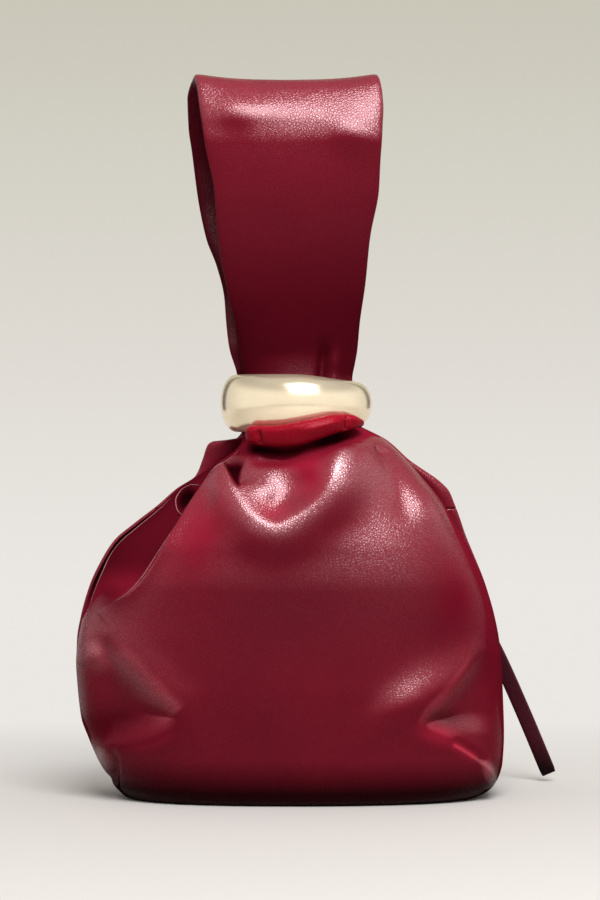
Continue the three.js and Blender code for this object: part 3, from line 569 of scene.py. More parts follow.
def front_painted_shading(places):
    """Painted light and shade on the front: lighter and redder where it is positive, painted shade
    where it is negative.
    """
    painted_shading = relief(places, PAINTED_SHADING_MOUNDS, PAINTED_SHADING_CREASES)
    painted_shading -= NOTCH_SHADE * in_notch(places)
    # Painted shade on the layer behind the side fold, deepest in its small hollow and fading, so
    # redder, towards the fold's tip
    ear = EAR_SHADE * mound(places, *EAR)
    painted_shading -= behind_fold(places, BEHIND_FADES) * (BEHIND_SHADE + ear)
    # Painted shade in a thin band outside the outer fold edge
    edge = over_rows(places, OUTER_BEGINS) * (1 - over_rows(places, OUTER_ENDS))
    painted_shading -= OUTER_SHADE * edge * beyond(places, OUTER_EDGE, EDGE_SOFT)
    return np.maximum(painted_shading, DARKEST)


def front_sheen(places):
    """How much glossier the front is than plain leather, or duller where it is negative."""
    sheen = relief(places, SHEEN_MOUNDS, SHEEN_CREASES)
    sheen -= behind_fold(places, BEHIND_SHINES)
    sheen -= FOOT_DULL * over_rows(places, FOOT_ROWS)
    sheen -= NOTCH_DULL * in_notch(places)
    return np.clip(sheen, -1.0, 1.0)


# The front panel, with its folded edges

FACING_BAND = (0.1, 0.55)
FRONT_BAND = (-0.12, 0.08)  # how far the picture's shades reach round to the sides
FRONT_STEP = 0.95  # between the rows of the front's grid
FRONT_COLUMNS = 400
SEEN = 0.2  # a line lies only on what faces the viewer at least this fully
EDGE_REACH = 1.4  # pixels round a line's point in which the surface is sampled
EDGE_LIFT = 0.15
EDGE_RADIUS = 0.28
EDGE_TAPER = (4, 0.01)
STITCH_RADIUS = 0.34
STITCH_LIFT = 0.6  # share of its radius
STITCH_LENGTH = 2.9
STITCH_PITCH = 3.9
STITCH_POINTS = 7
STITCH_TAPER = (2, 0.15)
THREAD_SIDES = 8
DEPTHWISE = np.array([0.0, 1.0, 0.0])


def facing_share(grid, facing=-1.0):
    """How fully each point of a grid faces the front, from 0 to 1."""
    return smoothstep(*FACING_BAND, facing * grid_normals(grid)[..., 1])


def over_picture(grid, values):
    """Values of a picture's formula at each point of a grid."""
    return values(to_picture(grid).reshape(-1, 2)).reshape(grid.shape[:2])


def press(grid, folds, facing=-1.0):
    """Moves a grid out along its normals by the folds that the picture shows, where the
    surface faces the front."""
    lift = over_picture(grid, folds) * facing_share(grid, facing)
    return grid + grid_normals(grid) * lift[..., None]


def make_front_panel(material, edge_material):
    heights = rows_of(DEPTH_FRONT, BOTTOM_Z, NECK_Z, FRONT_STEP)
    start = seam_turn(heights, False) - 2 * np.pi
    end = seam_turn(heights, True)
    outer = press(shell_grid(heights, start, end, FRONT_COLUMNS), front_folds)
    inner = outer - grid_normals(outer) * LEATHER
    vertices, faces = sheet_mesh(outer, inner)
    front = smoothstep(*FRONT_BAND, -grid_normals(outer)[..., 1])
    painted_shading = over_picture(outer, front_painted_shading) * front
    sheen = over_picture(outer, front_sheen) * front - (1 - facing_share(outer))
    sheen = np.maximum(sheen, -1.0)
    shades = {"painted_shading": np.tile(painted_shading.ravel(), 2), "sheen": np.tile(sheen.ravel(), 2)}
    piece = new_object("front_leather", vertices, faces, "bag", material, shades=shades)
    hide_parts("front_panel")
    # Painted highlights along the fold edges
    for number, line in enumerate((SIDE_EDGE, OUTER_EDGE, EAR_EDGE), start=1):
        make_fold_highlight(f"fold_highlight_{number}", outer, line, edge_material)


def on_surface(grid, line, lift, facing=-1.0):
    """The points of a grid, raised by a lift, that lie under a line drawn over the picture."""
    seen = facing_share(grid, facing).ravel() > SEEN
    corners = grid.reshape(-1, 3)[seen] + grid_normals(grid).reshape(-1, 3)[seen] * lift
    places = to_picture(grid.reshape(-1, 3)[seen])
    path = []
    for place in line:
        weight = np.exp(-np.sum(((places - place) / EDGE_REACH) ** 2, axis=1))
        path.append(weight @ corners / max(weight.sum(), TINY))
    return np.array(path)


def make_fold_highlight(name, grid, points, material):
    """A thin pale strip along a line drawn over the picture, a painted highlight where a fold's
    rounded edge catches the light.
    """
    path = on_surface(grid, through(points), EDGE_LIFT)
    width = 2 * EDGE_RADIUS * tapered(len(path), *EDGE_TAPER)
    vertices, faces = swept(path, DEPTHWISE, width, width, THREAD_SIDES, ROUND)
    piece = new_object(name, vertices, faces, "bag", material)


def make_stitches(name, grid, line, material, facing):
    """A row of stitches on a grid, along a line drawn over the picture."""
    path = on_surface(grid, line, STITCH_RADIUS * STITCH_LIFT, facing)
    length = run_length(path)
    width = 2 * STITCH_RADIUS * tapered(STITCH_POINTS, *STITCH_TAPER)
    vertices, faces = [], []
    for start in np.arange(0.0, length[-1] - STITCH_LENGTH, STITCH_PITCH):
        at = start + STITCH_LENGTH * np.linspace(0.0, 1.0, STITCH_POINTS)
        points = np.stack([np.interp(at, length, path[:, k]) for k in range(3)], axis=-1)
        corners, sides = swept(points, DEPTHWISE, width, width, THREAD_SIDES, ROUND)
        count = sum(len(part) for part in vertices)
        vertices.append(corners)
        faces += [[index + count for index in side] for side in sides]
    piece = new_object(name, np.vstack(vertices), faces, "bag", material)


# The back: the panel below the zip and the yoke above it

REAR_LEFT = [  # its shell reaches a little past the front at its stiff upper corners
    (0, 87), (3, 90.5), (7, 94), (10, 95.3), (20, 102), (31.6, 107), (41.5, 110.6),
    (58.7, 113), (70.7, 114), (81.7, 113.6), (94.2, 111.4), (109.9, 106.8), (121.9, 101.2),
    (133.4, 93.8), (142.2, 83.4), (151.6, 71.2), (160.5, 61), (167.3, 51), (176, 47.3),
    (183.5, 44.6), (185.2, 42), (186.6, 30), (193, 25),
]
REAR_RIGHT = [
    (0, 95), (3, 101.5), (7, 105.5), (12, 108), (17.5, 109.6), (32.6, 110.5), (52.5, 110),
    (72.8, 109), (81.7, 108), (95.8, 105.2), (110.9, 100.8), (129.2, 93.4), (136, 90.6),
    (145.4, 87.4), (152.7, 84.6), (158.9, 82), (164.2, 77), (171.5, 66.6), (175, 61.5),
    (186, 49), (193, 35.5),
]
ZIP_HEIGHT = 150.0
ZIP_TILT = math.radians(22)
ZIP_Y = 39.969
ZIP_LEFT = -55.25
ZIP_RIGHT = 73.32
WINDOW_HALF = 5.4
TUCK = 5.0  # how far the rear leather runs in under the front leather
TUCK_IN = 0.8  # its first step in, and forwards
TUCK_FORWARD = 1.2
TUCK_DEPTH = 0.5
SEAM_GAP = 0.2  # from the line where the yoke and the back meet beside the zip
SEAM_MARGIN = 3.0  # from the zip's window to its stitches
SEAM_END = 2.0  # the stitches run this far past the zip
SEAM_POINTS = 260
WINDOW_OUT = 1.5  # the window's ends round off from this far outside to this far inside
WINDOW_IN = 0.5
REAR_START = 0.09  # turn from the bag's side
REAR_COLUMNS = 300
INNER_PAINTED_SHADE = -0.7
INNER_SHEEN = -1.0
REAR_SHEEN = -0.5
REAR_PLEATS = [  # foot, top and height
    ((150, 560), (262, 450), 2.4), ((215, 560), (280, 450), -2.0),
    ((292, 540), (298, 446), 1.8), ((372, 560), (318, 450), -2.2),
    ((430, 540), (336, 450), 2.2),
]
PLEAT_BOW = 4
PLEAT_WIDTH = 14
PLEAT_FADE = (0.05, 0.7)
REAR_MOUNDS = {"middle": ((300, 640), (120, 60), 1.5)}
REAR_CREASES = {
    "left corner": ([(92, 742), (120, 748), (150, 741), (176, 722)], -4.5, 14, 8),
    "left ridge": ([(96, 640), (130, 676), (174, 716)], 2.5, 18, 18, (0.4, 0.1)),
    "right corner": ([(494, 752), (460, 744), (432, 726)], -4.5, 9, 13),
    "right ridge": ([(486, 650), (456, 690), (432, 722)], 2.5, 16, 16, (0.4, 0.1)),
}


def zip_place(x, out, up):
    """A point of the zip's own frame: along it, out from its facet and up the facet."""
    y = ZIP_Y + out * math.cos(ZIP_TILT) - up * math.sin(ZIP_TILT)
    z = ZIP_HEIGHT + out * math.sin(ZIP_TILT) + up * math.cos(ZIP_TILT)
    return np.stack(np.broadcast_arrays(x, y, z), axis=-1)


def rear_point(turn, height, inset=0.0):
    cosine, sine = np.cos(turn), np.sin(turn)
    side = np.where(cosine > 0, reach(REAR_RIGHT, height), reach(REAR_LEFT, height)) - inset
    depth = reach(DEPTH_BACK, height) - inset
    radius = (np.abs(cosine / side) ** BACK_SQUARENESS + np.abs(sine / depth) ** BACK_SQUARENESS)
    radius = radius ** (-1 / BACK_SQUARENESS)
    y = radius * sine
    facet = ZIP_Y - inset - (height - ZIP_HEIGHT) * math.tan(ZIP_TILT)
    return np.stack([radius * cosine, np.minimum(y, facet), height], axis=-1)


def rear_grid(height_at, rows, columns):
    """A grid of the rear shell between two edges. height_at gives the height of a share of the
    way up at a given distance across."""
    turn = np.linspace(REAR_START, np.pi - REAR_START, columns)
    guess = rear_point(turn, np.full(columns, ZIP_HEIGHT))[:, 0]
    share = np.linspace(0.0, 1.0, rows)
    height = height_at(share[:, None], guess[None, :])
    turns = np.repeat(turn[None, :], rows, axis=0)
    grid = rear_point(turns, height)
    right = shell_point(np.zeros(rows), height[:, 0])[:, 0]
    left = shell_point(np.full(rows, np.pi), height[:, -1])[:, 0]
    return add_tuck(grid, left, right)


def add_tuck(grid, left, right):
    """Runs both side edges of the rear leather in under the front leather's edge."""
    level = np.zeros(len(grid))
    ends = []
    for column, front in ((grid[:, 0], right), (grid[:, -1], left)):
        inward = -np.sign(front)
        edge = column + np.stack([inward * TUCK_IN, level - TUCK_FORWARD, level], axis=-1)
        hidden = np.stack([front + inward * TUCK, edge[:, 1] - TUCK_DEPTH, edge[:, 2]], axis=-1)
        ends.append([hidden, (edge + hidden) / 2, edge])
    first = np.stack(ends[0], axis=1)
    last = np.stack(ends[1][::-1], axis=1)
    return np.concatenate([first, grid, last], axis=1)


def rear_folds(places):
    """Soft folds of the back, drawn over the picture as if seen through the bag."""
    lift = relief(places, REAR_MOUNDS, REAR_CREASES)
    for foot, top, height in REAR_PLEATS:
        middle = ((top[0] + foot[0]) / 2 + PLEAT_BOW, (top[1] + foot[1]) / 2)
        lift += crease(places, [top, middle, foot], height, PLEAT_WIDTH, fade=PLEAT_FADE)
    return lift


def window_share(x):
    """How fully a place across the back lies over the zip's window, from 0 to 1."""
    left = smoothstep(ZIP_LEFT - WINDOW_OUT, ZIP_LEFT + WINDOW_IN, x)
    right = 1 - smoothstep(ZIP_RIGHT - WINDOW_IN, ZIP_RIGHT + WINDOW_OUT, x)
    return left * right


def make_rear(material, thread):
    step_up = WINDOW_HALF * math.cos(ZIP_TILT)

    def below(share, x):
        top = ZIP_HEIGHT - SEAM_GAP - (step_up - SEAM_GAP) * window_share(x)
        return BOTTOM_Z + (top - BOTTOM_Z) * share

    def above(share, x):
        bottom = ZIP_HEIGHT + SEAM_GAP + (step_up - SEAM_GAP) * window_share(x)
        return bottom + (NECK_Z - bottom) * share

    along = np.linspace(ZIP_LEFT - SEAM_END, ZIP_RIGHT + SEAM_END, SEAM_POINTS)
    for name, node, heights, rows, side in (("back_leather", "back_panel", below, 150, -1),
                                            ("yoke_leather", "rear_yoke", above, 56, 1)):
        outer = press(rear_grid(heights, rows, REAR_COLUMNS), rear_folds, facing=1.0)
        inner = outer - grid_normals(outer) * LEATHER
        vertices, faces = sheet_mesh(outer, inner)
        # The face that looks forwards over the shoulders lies in shade, which is painted into its
        # colour
        count = outer.shape[0] * outer.shape[1]
        shades = {"painted_shading": np.repeat([0.0, INNER_PAINTED_SHADE], count),
                  "sheen": np.repeat([REAR_SHEEN, INNER_SHEEN], count)}
        piece = new_object(name, vertices, faces, "bag", material, shades=shades)
        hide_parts(node)
        seam = zip_place(along, 0.0, side * (WINDOW_HALF + SEAM_MARGIN))
        make_stitches(f"{node}_stitches", outer, to_picture(seam), thread, facing=1.0)


# The bangle

RING_CENTRE_X = 1.9
RING_BORE_X = 30.0
RING_BORE_Y = 24.0
RING_Z = 205.2
RING_FLAT = 0.2  # share of the thickness where the bore's curve meets the dome
RING_STATIONS = [  # angle from the right, anticlockwise; height, thickness and rise
    (-45, 24.5, 10.5, 0), (0, 22, 9.3, -0.5), (90, 18, 7, 0), (150, 23.6, 8.4, 0.4),
    (180, 29.7, 9.6, 0), (225, 30, 11, 0), (270, 29.3, 12, 0.3), (315, 24.5, 10.5, 0),
    (360, 22, 9.3, -0.5), (450, 18, 7, 0),
]
RING_HEIGHT = 1  # columns of its stations
RING_THICKNESS = 2
RING_RISE = 3
RING_COLUMNS = 240
RING_ROWS = 64


def ring_value(degrees, column):
    return reach(RING_STATIONS, degrees, column)


def ring_place(degrees, radial, height):
    """A point outside the bore by a radial distance, at an angle and height."""
    angle = np.radians(degrees)
    out = np.stack([np.cos(angle) / RING_BORE_X, np.sin(angle) / RING_BORE_Y], axis=-1)
    out = out / np.linalg.norm(out, axis=-1, keepdims=True)
    x = RING_CENTRE_X + RING_BORE_X * np.cos(angle) + out[..., 0] * radial
    y = RING_BORE_Y * np.sin(angle) + out[..., 1] * radial
    return np.stack(np.broadcast_arrays(x, y, height), axis=-1)


def make_ring(material):
    degrees = np.linspace(0, 360, RING_COLUMNS, endpoint=False)[:, None]
    turn = np.linspace(0, 2 * np.pi, RING_ROWS, endpoint=False)[None, :]
    cosine = np.cos(turn)
    dome = RING_FLAT + (1 - RING_FLAT) * cosine
    bulge = np.where(cosine > 0, dome, RING_FLAT * (1 + cosine))
    radial = ring_value(degrees, RING_THICKNESS) * bulge
    middle = RING_Z + ring_value(degrees, RING_RISE)
    grid = ring_place(degrees + 0 * turn, radial,
                      middle + ring_value(degrees, RING_HEIGHT) / 2 * np.sin(turn))
    piece = new_object("bangle", grid.reshape(-1, 3), ring_faces(RING_COLUMNS, RING_ROWS), "ring",
                       material)
    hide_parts("neck_ring")


# The gathered leather that rolls out from under the bangle

LIP_STATIONS = [  # angle round the bangle, lower edge, upper edge
    (227, 184.6, 194.2), (234, 184.4, 194.2), (243, 183.6, 193.9), (257, 183.0, 194.4),
    (270, 183.6, 196.0), (285, 186.6, 198.4), (300, 189.8, 199.9), (313, 191.6, 199.6),
    (322, 192.6, 197.8), (329, 193.2, 196.6),
]
LIP_BULGE = 5.6
LIP_SQUARENESS = 0.62  # exponent of its section, which is flatter in front than a round one
LIP_COLUMNS = 150
LIP_OUTER_ROWS = 40
LIP_INNER_ROWS = 24
LIP_GAP = 0.5  # between its front and the bangle's face
LIP_BACK_GAP = 0.4
LIP_BACK = (0.03, 0.97)  # span of its height that its back takes up
LIP_UNDER = 2.0  # how far out its back lies where it passes under the bangle
LIP_UNDER_BAND = (-1.5, 0.3)
LIP_TAPER = (16, 0.0004)  # its ends close down to a point against the bangle
LIP_CREASES = {
    "left": ([(258, 424), (259, 436), (261, 450)], -1.6, 2.5, 4, (0.4, 0)),
    "right": ([(345, 410), (348, 420), (346, 434)], -1.6, 2.5, 2.5, (0, 0)),
    "top": ([(296, 434), (322, 427), (342, 421)], 1.2, 5, 5, (0.4, 0.2)),
}


def ring_surface(degrees, height):
    """How far the bangle's face stands outside the bore at a height."""
    half = ring_value(degrees, RING_HEIGHT) / 2
    up = np.clip((height - RING_Z - ring_value(degrees, RING_RISE)) / half, -1.0, 1.0)
    dome = RING_FLAT + (1 - RING_FLAT) * np.sqrt(1 - up * up)
    return ring_value(degrees, RING_THICKNESS) * dome


def lip_folds(places):
    return relief(places, {}, LIP_CREASES)


def make_lip(material):
    degrees = np.linspace(LIP_STATIONS[0][0], LIP_STATIONS[-1][0], LIP_COLUMNS)[:, None]
    low = reach(LIP_STATIONS, degrees, 1)
    high = reach(LIP_STATIONS, degrees, 2)
    middle = (low + high) / 2
    half = (high - low) / 2
    turn = np.linspace(math.pi / 2, -math.pi / 2, LIP_OUTER_ROWS)[None, :]
    front_height = middle + half * signed_power(np.sin(turn), LIP_SQUARENESS)
    front = ring_surface(degrees, high) + LIP_GAP + LIP_BULGE * np.cos(turn) ** LIP_SQUARENESS
    back_height = low + 2 * half * np.linspace(*LIP_BACK, LIP_INNER_ROWS)[None, :]
    ring_low = RING_Z + ring_value(degrees, RING_RISE) - ring_value(degrees, RING_HEIGHT) / 2
    under = smoothstep(*LIP_UNDER_BAND, back_height - ring_low)
    against = ring_surface(degrees, back_height) + LIP_BACK_GAP
    back = LIP_UNDER + (against - LIP_UNDER) * under
    radial = np.concatenate([front, back], axis=1)
    height = np.concatenate([front_height, back_height], axis=1)
    size = tapered(LIP_COLUMNS, *LIP_TAPER)[:, None]
    core = ring_surface(degrees, middle) + LIP_UNDER
    radial = core + (radial - core) * size
    height = middle + (height - middle) * size
    grid = press(ring_place(degrees + 0 * height, radial, height), lip_folds)
    piece = new_object("gathered_lip", grid.reshape(-1, 3), tube_faces(*grid.shape[:2]), "bag",
                       material)


# The wrist loop: one padded strap from the neck, through the bangle, over the top and back

STRAP_STATIONS = [  # height and depth of its outer face, reach to the left and to the right
    (176, -16, 21, 30), (190, -18.3, 23.7, 31.5), (205.2, -23.2, 27.5, 31.2),
    (213, -19, 26.5, 30.8), (221, -12.8, 26.3, 30.9), (232.8, -10.6, 28.1, 33.5),
    (247, -11, 30.5, 34.8), (267, -12.6, 34.8, 37.6), (291, -15.8, 39, 40), (315, -18.8, 40.6, 44.2),
    (339, -19.4, 45.4, 45.2), (350, -18.1, 47, 46.2), (358, -16.1, 48.2, 46.8),
    (365, -13.2, 49.2, 46.4), (370.5, -9.8, 50, 45.6), (374.2, -5.4, 50.8, 44.8),
    (375.8, 0, 51.4, 44.2), (373.6, 8.5, 53, 44), (365, 16, 55.5, 44),
    (350, 19.5, 55, 44), (338, 20.2, 53.4, 43.5), (312, 18.6, 50, 41), (291, 15.6, 45.6, 39),
    (276, 13.2, 39.9, 37.4), (261, 11.6, 36.2, 36), (247, 10.6, 35, 34.6), (235.7, 10.4, 33.6, 33.4),
    (225, 12.4, 29.6, 31), (214, 18.5, 26.5, 30.8), (205.2, 23.2, 27.5, 31.2),
    (190, 18.3, 23.7, 31.5), (176, 16, 21, 30),
]
STRAP_THICKNESS = 5.6
STRAP_PLUMP = 2.2  # how much thicker the strap is at the top
STRAP_ROWS = 420
STRAP_COLUMNS = 96
SIDE_ROUNDING = 0.62  # how far the flat part's section is squared off, across and through
FACE_ROUNDING = 0.45
LEG_INNER = 0.3  # the legs' flat faces lie this far from the middle
ROOT_Z = 216.0
STRAP_Z = 262.0
TOP_Z = 330.0
PLUMP_Z = 370.0
FOLD_BAND = (350.0, 376.0)
FOLD_CORNERS = 2.8  # the fold at the top hangs between its two raised corners
FOLD_SHARPNESS = 5
FOLD_SAG = 2.2
FRONT_LEG = (0.0, 6.0)
STRAP_SHADE = 0.55  # the loop's colour is painted darker towards the bangle, a painted shade, and it dulls
STRAP_SHADE_ROWS = (180.0, 330.0)
STRAP_DULL = 0.95
STRAP_DULL_ROWS = (200.0, 320.0)
# painted shade on the loop's rear leg
REAR_LEG_SHADE = -0.55
HIDDEN_SHEEN = -0.6  # the loop's inner faces are duller
HIDDEN_TURN = 0.3
STRAP_MOUNDS = {
    "left of the top": ((238, 112), (22, 17), 2.2, 14),
    "right of the top": ((352, 134), (26, 17), 2.2, 24),
    "middle": ((300, 175), (70, 60), 1.5),
}
STRAP_CREASES = {
    "pleat above the bangle": ([(324, 330), (323, 356), (321, 392)], -4.5, 5, 4, (0.45, 0)),
    "ridge beside the pleat": ([(336, 340), (335, 362), (334, 392)], 1.8, 6, 6, (0.5, 0)),
    "dent of the top edge": ([(258, 78), (263, 92), (272, 112)], -1.3, 7, 7, (0.0, 0.6)),
    "right side": ([(352, 352), (354, 366), (350, 388)], 1.2, 4, 4, (0.4, 0)),
}


def strap_path(rows):
    """Places, reaches and directions along the strap's outer face."""
    stations = np.array(STRAP_STATIONS, float)
    length = run_length(stations[:, :2])
    at = np.linspace(0.0, length[-1], rows)
    z, y, left, right = (smooth_curve(length, stations[:, k], at) for k in range(4))
    direction = np.stack([np.gradient(y), np.gradient(z)], axis=-1)
    direction /= np.linalg.norm(direction, axis=-1, keepdims=True)
    return y, z, left, right, direction


def strap_section(y, z, turn):
    """How far a section stands out from the strap's outer face, negative towards the inside of
    the loop, and the shares of its width. Near the bangle each leg is half of an oval, and
    higher up the strap is flat and padded."""
    cosine, sine = np.cos(turn), np.sin(turn)
    flat = smoothstep(ROOT_Z, STRAP_Z, z)
    leg = -(np.abs(y) - LEG_INNER) * (1 - np.clip(sine, 0, 1))
    plump = STRAP_THICKNESS + STRAP_PLUMP * smoothstep(TOP_Z, PLUMP_Z, z)
    strap = plump / 2 * (signed_power(sine, 1 - FACE_ROUNDING * flat) - 1)
    return leg + (strap - leg) * flat, signed_power(cosine, 1 - SIDE_ROUNDING * flat)


def strap_painted_shading(places):
    return -STRAP_SHADE * over_rows(places, STRAP_SHADE_ROWS)


def strap_sheen(places):
    return -STRAP_DULL * over_rows(places, STRAP_DULL_ROWS)


def loop_normals(grid):
    normal = grid_normals(grid, wrap=True)
    centre = grid.mean(axis=1, keepdims=True)
    return normal * np.sign(np.sum(normal * (grid - centre), axis=-1).mean())


def press_loop(grid):
    """Folds of the loop's front face, along its outer normals."""
    normal = loop_normals(grid)
    lift = over_picture(grid, lambda places: relief(places, STRAP_MOUNDS, STRAP_CREASES))
    weight = smoothstep(*FACING_BAND, -normal[..., 1]) * smoothstep(*FRONT_LEG, -grid[..., 1])
    return grid + normal * (lift * weight)[..., None]


def make_strap(material):
    y, z, left, right, direction = strap_path(STRAP_ROWS)
    turn = np.linspace(0, 2 * np.pi, STRAP_COLUMNS, endpoint=False)[None, :]
    depth, across = strap_section(y[:, None], z[:, None], turn)
    middle = ((right - left) / 2)[:, None]
    half = ((right + left) / 2)[:, None]
    grid = np.stack([middle + across * half, y[:, None] - direction[:, 1:] * depth,
                     z[:, None] + direction[:, :1] * depth], axis=-1)
    over = smoothstep(*FOLD_BAND, grid[..., 2])
    share = np.clip(across, -1, 1)
    corners = FOLD_CORNERS * np.abs(share) ** FOLD_SHARPNESS
    grid[..., 2] += over * (corners - FOLD_SAG * (1 - share**2))
    grid = press_loop(grid)
    behind = grid[..., 1] > 0
    painted_shading = np.where(behind, REAR_LEG_SHADE, over_picture(grid, strap_painted_shading))
    hidden = behind | (loop_normals(grid)[..., 1] > HIDDEN_TURN)
    sheen = np.where(hidden, HIDDEN_SHEEN, over_picture(grid, strap_sheen))
    piece = new_object("wrist_loop", grid.reshape(-1, 3), tube_faces(STRAP_ROWS, STRAP_COLUMNS),
                       None, material, shades={"painted_shading": painted_shading.ravel(), "sheen": sheen.ravel()})
    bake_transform(piece)
    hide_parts("front_leg", "rear_leg", "handle_outer", "handle_padding", "handle_inner")


# The zip's tapes, its metal, and the pull

TAPE_DEPTH = -2.7
TAPE_INNER = 3.2
TAPE_WIDTH = 9.0
HINGE = np.array(
    next(joint["pos_m"] for joint in frame["joints"] if joint["name"] == "pull_swing")
) / MM
PULL_DROP = 146.6
PULL_STATIONS = [  # share of the drop, step to the right, step out from the back
    (0, 0, 0), (0.025, 0, 2.2), (0.07, 4.8, 6), (0.14, 11.5, 9.6), (0.3, 25.5, 13.6),
    (0.53, 44.8, 15.6), (0.75, 59.6, 15.6), (1, 75, 14.8),
]
PULL_WIDTH = 8.2
PULL_THICKNESS = 2.4
EYE_RADIUS = 1.75  # middle of the eye's wall
EYE_WALL = 1.0
EYE_TURN = (-math.pi / 2 - 0.2, 1.5 * math.pi - 0.6)
EYE_POINTS = 60
PULL_POINTS = 160
PULL_SPACING = 1.3  # exponent that sets its points closer together at the top
PULL_START = 2.6  # drop at which the eye runs over into the strap
PULL_BLEND = 9  # points over which the wall thickens
PULL_END = [0.1, 0.3, 0.8]  # how much narrower its last points are
PULL_ACROSS = np.array([1.0, 0.0, 0.3])
TAPE_HALF = 0.35
TAPE_LEFT = 1.0  # ends of the tapes, in from the zip's
TAPE_RIGHT = 3.5
TAPE_NARROWS = (14.0, 3.0)
TAPE_NARROWER = 0.35
TAPE_RIPPLE = 0.12
TAPE_RIPPLE_RATE = 0.35
TAPE_COLUMNS = 160
TAPE_ROWS = 14


def make_tapes(material):
    x = np.linspace(ZIP_LEFT + TAPE_LEFT, ZIP_RIGHT - TAPE_RIGHT, TAPE_COLUMNS)[:, None]
    width = np.linspace(0.0, TAPE_WIDTH, TAPE_ROWS)[None, :]
    ripple = TAPE_RIPPLE * np.sin(x * TAPE_RIPPLE_RATE) * width / TAPE_WIDTH
    near_end = smoothstep(ZIP_RIGHT - TAPE_NARROWS[0], ZIP_RIGHT - TAPE_NARROWS[1], x)
    reach_up = TAPE_INNER + width * (1 - near_end * TAPE_NARROWER)
    for name, side in (("tape_upper", 1), ("tape_lower", -1)):
        along = x + 0 * width
        outer = zip_place(along, TAPE_DEPTH + TAPE_HALF + ripple, side * reach_up)
        inner = zip_place(along, TAPE_DEPTH - TAPE_HALF + ripple, side * reach_up)
        vertices, faces = sheet_mesh(inner, outer)
        piece = new_object(name, vertices, faces, "bag", material)
        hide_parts("zip_" + name)


def pull_path(share):
    x = reach(PULL_STATIONS, share, 1)
    y = reach(PULL_STATIONS, share, 2)
    return HINGE + np.stack([x, y, -share * PULL_DROP], axis=-1)


def make_pull(material):
    share = np.linspace(0, 1, PULL_POINTS) ** PULL_SPACING
    strap = pull_path(share)[share * PULL_DROP > PULL_START]
    turn = np.linspace(*EYE_TURN, EYE_POINTS)[::-1]
    eye = HINGE + EYE_RADIUS * np.stack([0 * turn, np.cos(turn), np.sin(turn)], axis=-1)
    points = np.vstack([eye, strap])
    thickness = np.where(np.arange(len(points)) < len(eye), EYE_WALL, PULL_THICKNESS)
    thickness = np.pad(thickness, PULL_BLEND // 2, mode="edge")
    thickness = np.convolve(thickness, np.ones(PULL_BLEND) / PULL_BLEND, mode="valid")
    widths = np.full(len(points), PULL_WIDTH)
    widths[-len(PULL_END):] -= PULL_END
    vertices, faces = swept(points, PULL_ACROSS, widths, thickness)
    piece = new_object("pull_leather", vertices, faces, "pull", material)
    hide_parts("pull_strap")


# The base with its bound edge, the lining and the slip pocket

PIPING = 0.85  # radius of the bound edge round the base
PIPING_INSET = 1.0
PIPING_SIDES = 12
BASE_COLUMNS = 260
BASE_RINGS = [(3.4, 0.35), (2.6, 0.35), (2.4, 0.6), (2.4, 2.0)]  # inset and height


def base_outline(inset, height):
    """The pouch's outline at its foot, drawn in by an inset and raised to a height."""
    turn = np.linspace(0, 2 * np.pi, BASE_COLUMNS, endpoint=False)
    outline = shell_point(turn, np.zeros(BASE_COLUMNS), inset)
    outline[:, 2] = height
    return outline


def make_base(leather_material, edge_material):
    grid = np.array([base_outline(inset, height) for inset, height in BASE_RINGS])
    piece = new_object("base_leather", grid.reshape(-1, 3), tube_faces(*grid.shape[:2]), "bag",
                       leather_material)
    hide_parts("base_panel")
    turn = np.linspace(0, 2 * np.pi, PIPING_SIDES, endpoint=False)
    centre = base_outline(PIPING_INSET, PIPING)
    outward = centre[:, :2] / np.linalg.norm(centre[:, :2], axis=1, keepdims=True)
    tube = np.repeat(centre[:, None, :], PIPING_SIDES, axis=1)
    tube[..., :2] += outward[:, None, :] * (PIPING * np.cos(turn))[None, :, None]
    tube[..., 2] += (PIPING * np.sin(turn))[None, :]
    piping = new_object("base_piping", tube.reshape(-1, 3), ring_faces(BASE_COLUMNS, PIPING_SIDES),
                        "bag", edge_material)


LINING_INSET = 3.2
LINING_SLACK = 11.0  # the lining hangs slack behind the folded front
LINING_SLACK_BAND = (0.0, 0.6)
LINING_FRONT = (0.06, (0.0, 0.5))  # how far it is drawn in at the front and at the back
LINING_BACK = (0.07, (0.0, 0.4))
LINING_THICKNESS = 0.6
LINING_LOW = 6.0
LINING_HIGH = 164.0
LINING_ZIP = 15.0  # how far inside the zip's facet it stays
LINING_ZIP_BAND = (118.0, 140.0)
LINING_ROWS = 80
LINING_COLUMNS = 200
POCKET_LOW = 52.0
POCKET_HIGH = 124.0
POCKET_TURN = 0.72  # half its width, as a turn about the pouch
POCKET_GAP = 0.3
POCKET_GAPE = 1.5  # its mouth stands open
POCKET_GAPE_FROM = 100.0
POCKET_ROWS = 40
POCKET_COLUMNS = 60


def lining_point(turn, height, inset):
    """Points of the lining's face, drawn in by an inset and slack in front."""
    wall = shell_point(turn, height, LINING_INSET + inset)
    front = np.clip(-np.sin(turn), 0.0, 1.0)
    wall[..., 1] += LINING_SLACK * smoothstep(*LINING_SLACK_BAND, front)
    for (drawn_in, band), share in ((LINING_FRONT, front), (LINING_BACK, np.sin(turn))):
        wall[..., :2] *= 1 - drawn_in * smoothstep(*band, share)[..., None]
    facet = ZIP_Y - LINING_ZIP - inset - (height - ZIP_HEIGHT) * math.tan(ZIP_TILT)
    cut = np.minimum(wall[..., 1], facet)
    wall[..., 1] += (cut - wall[..., 1]) * smoothstep(*LINING_ZIP_BAND, height)
    return wall


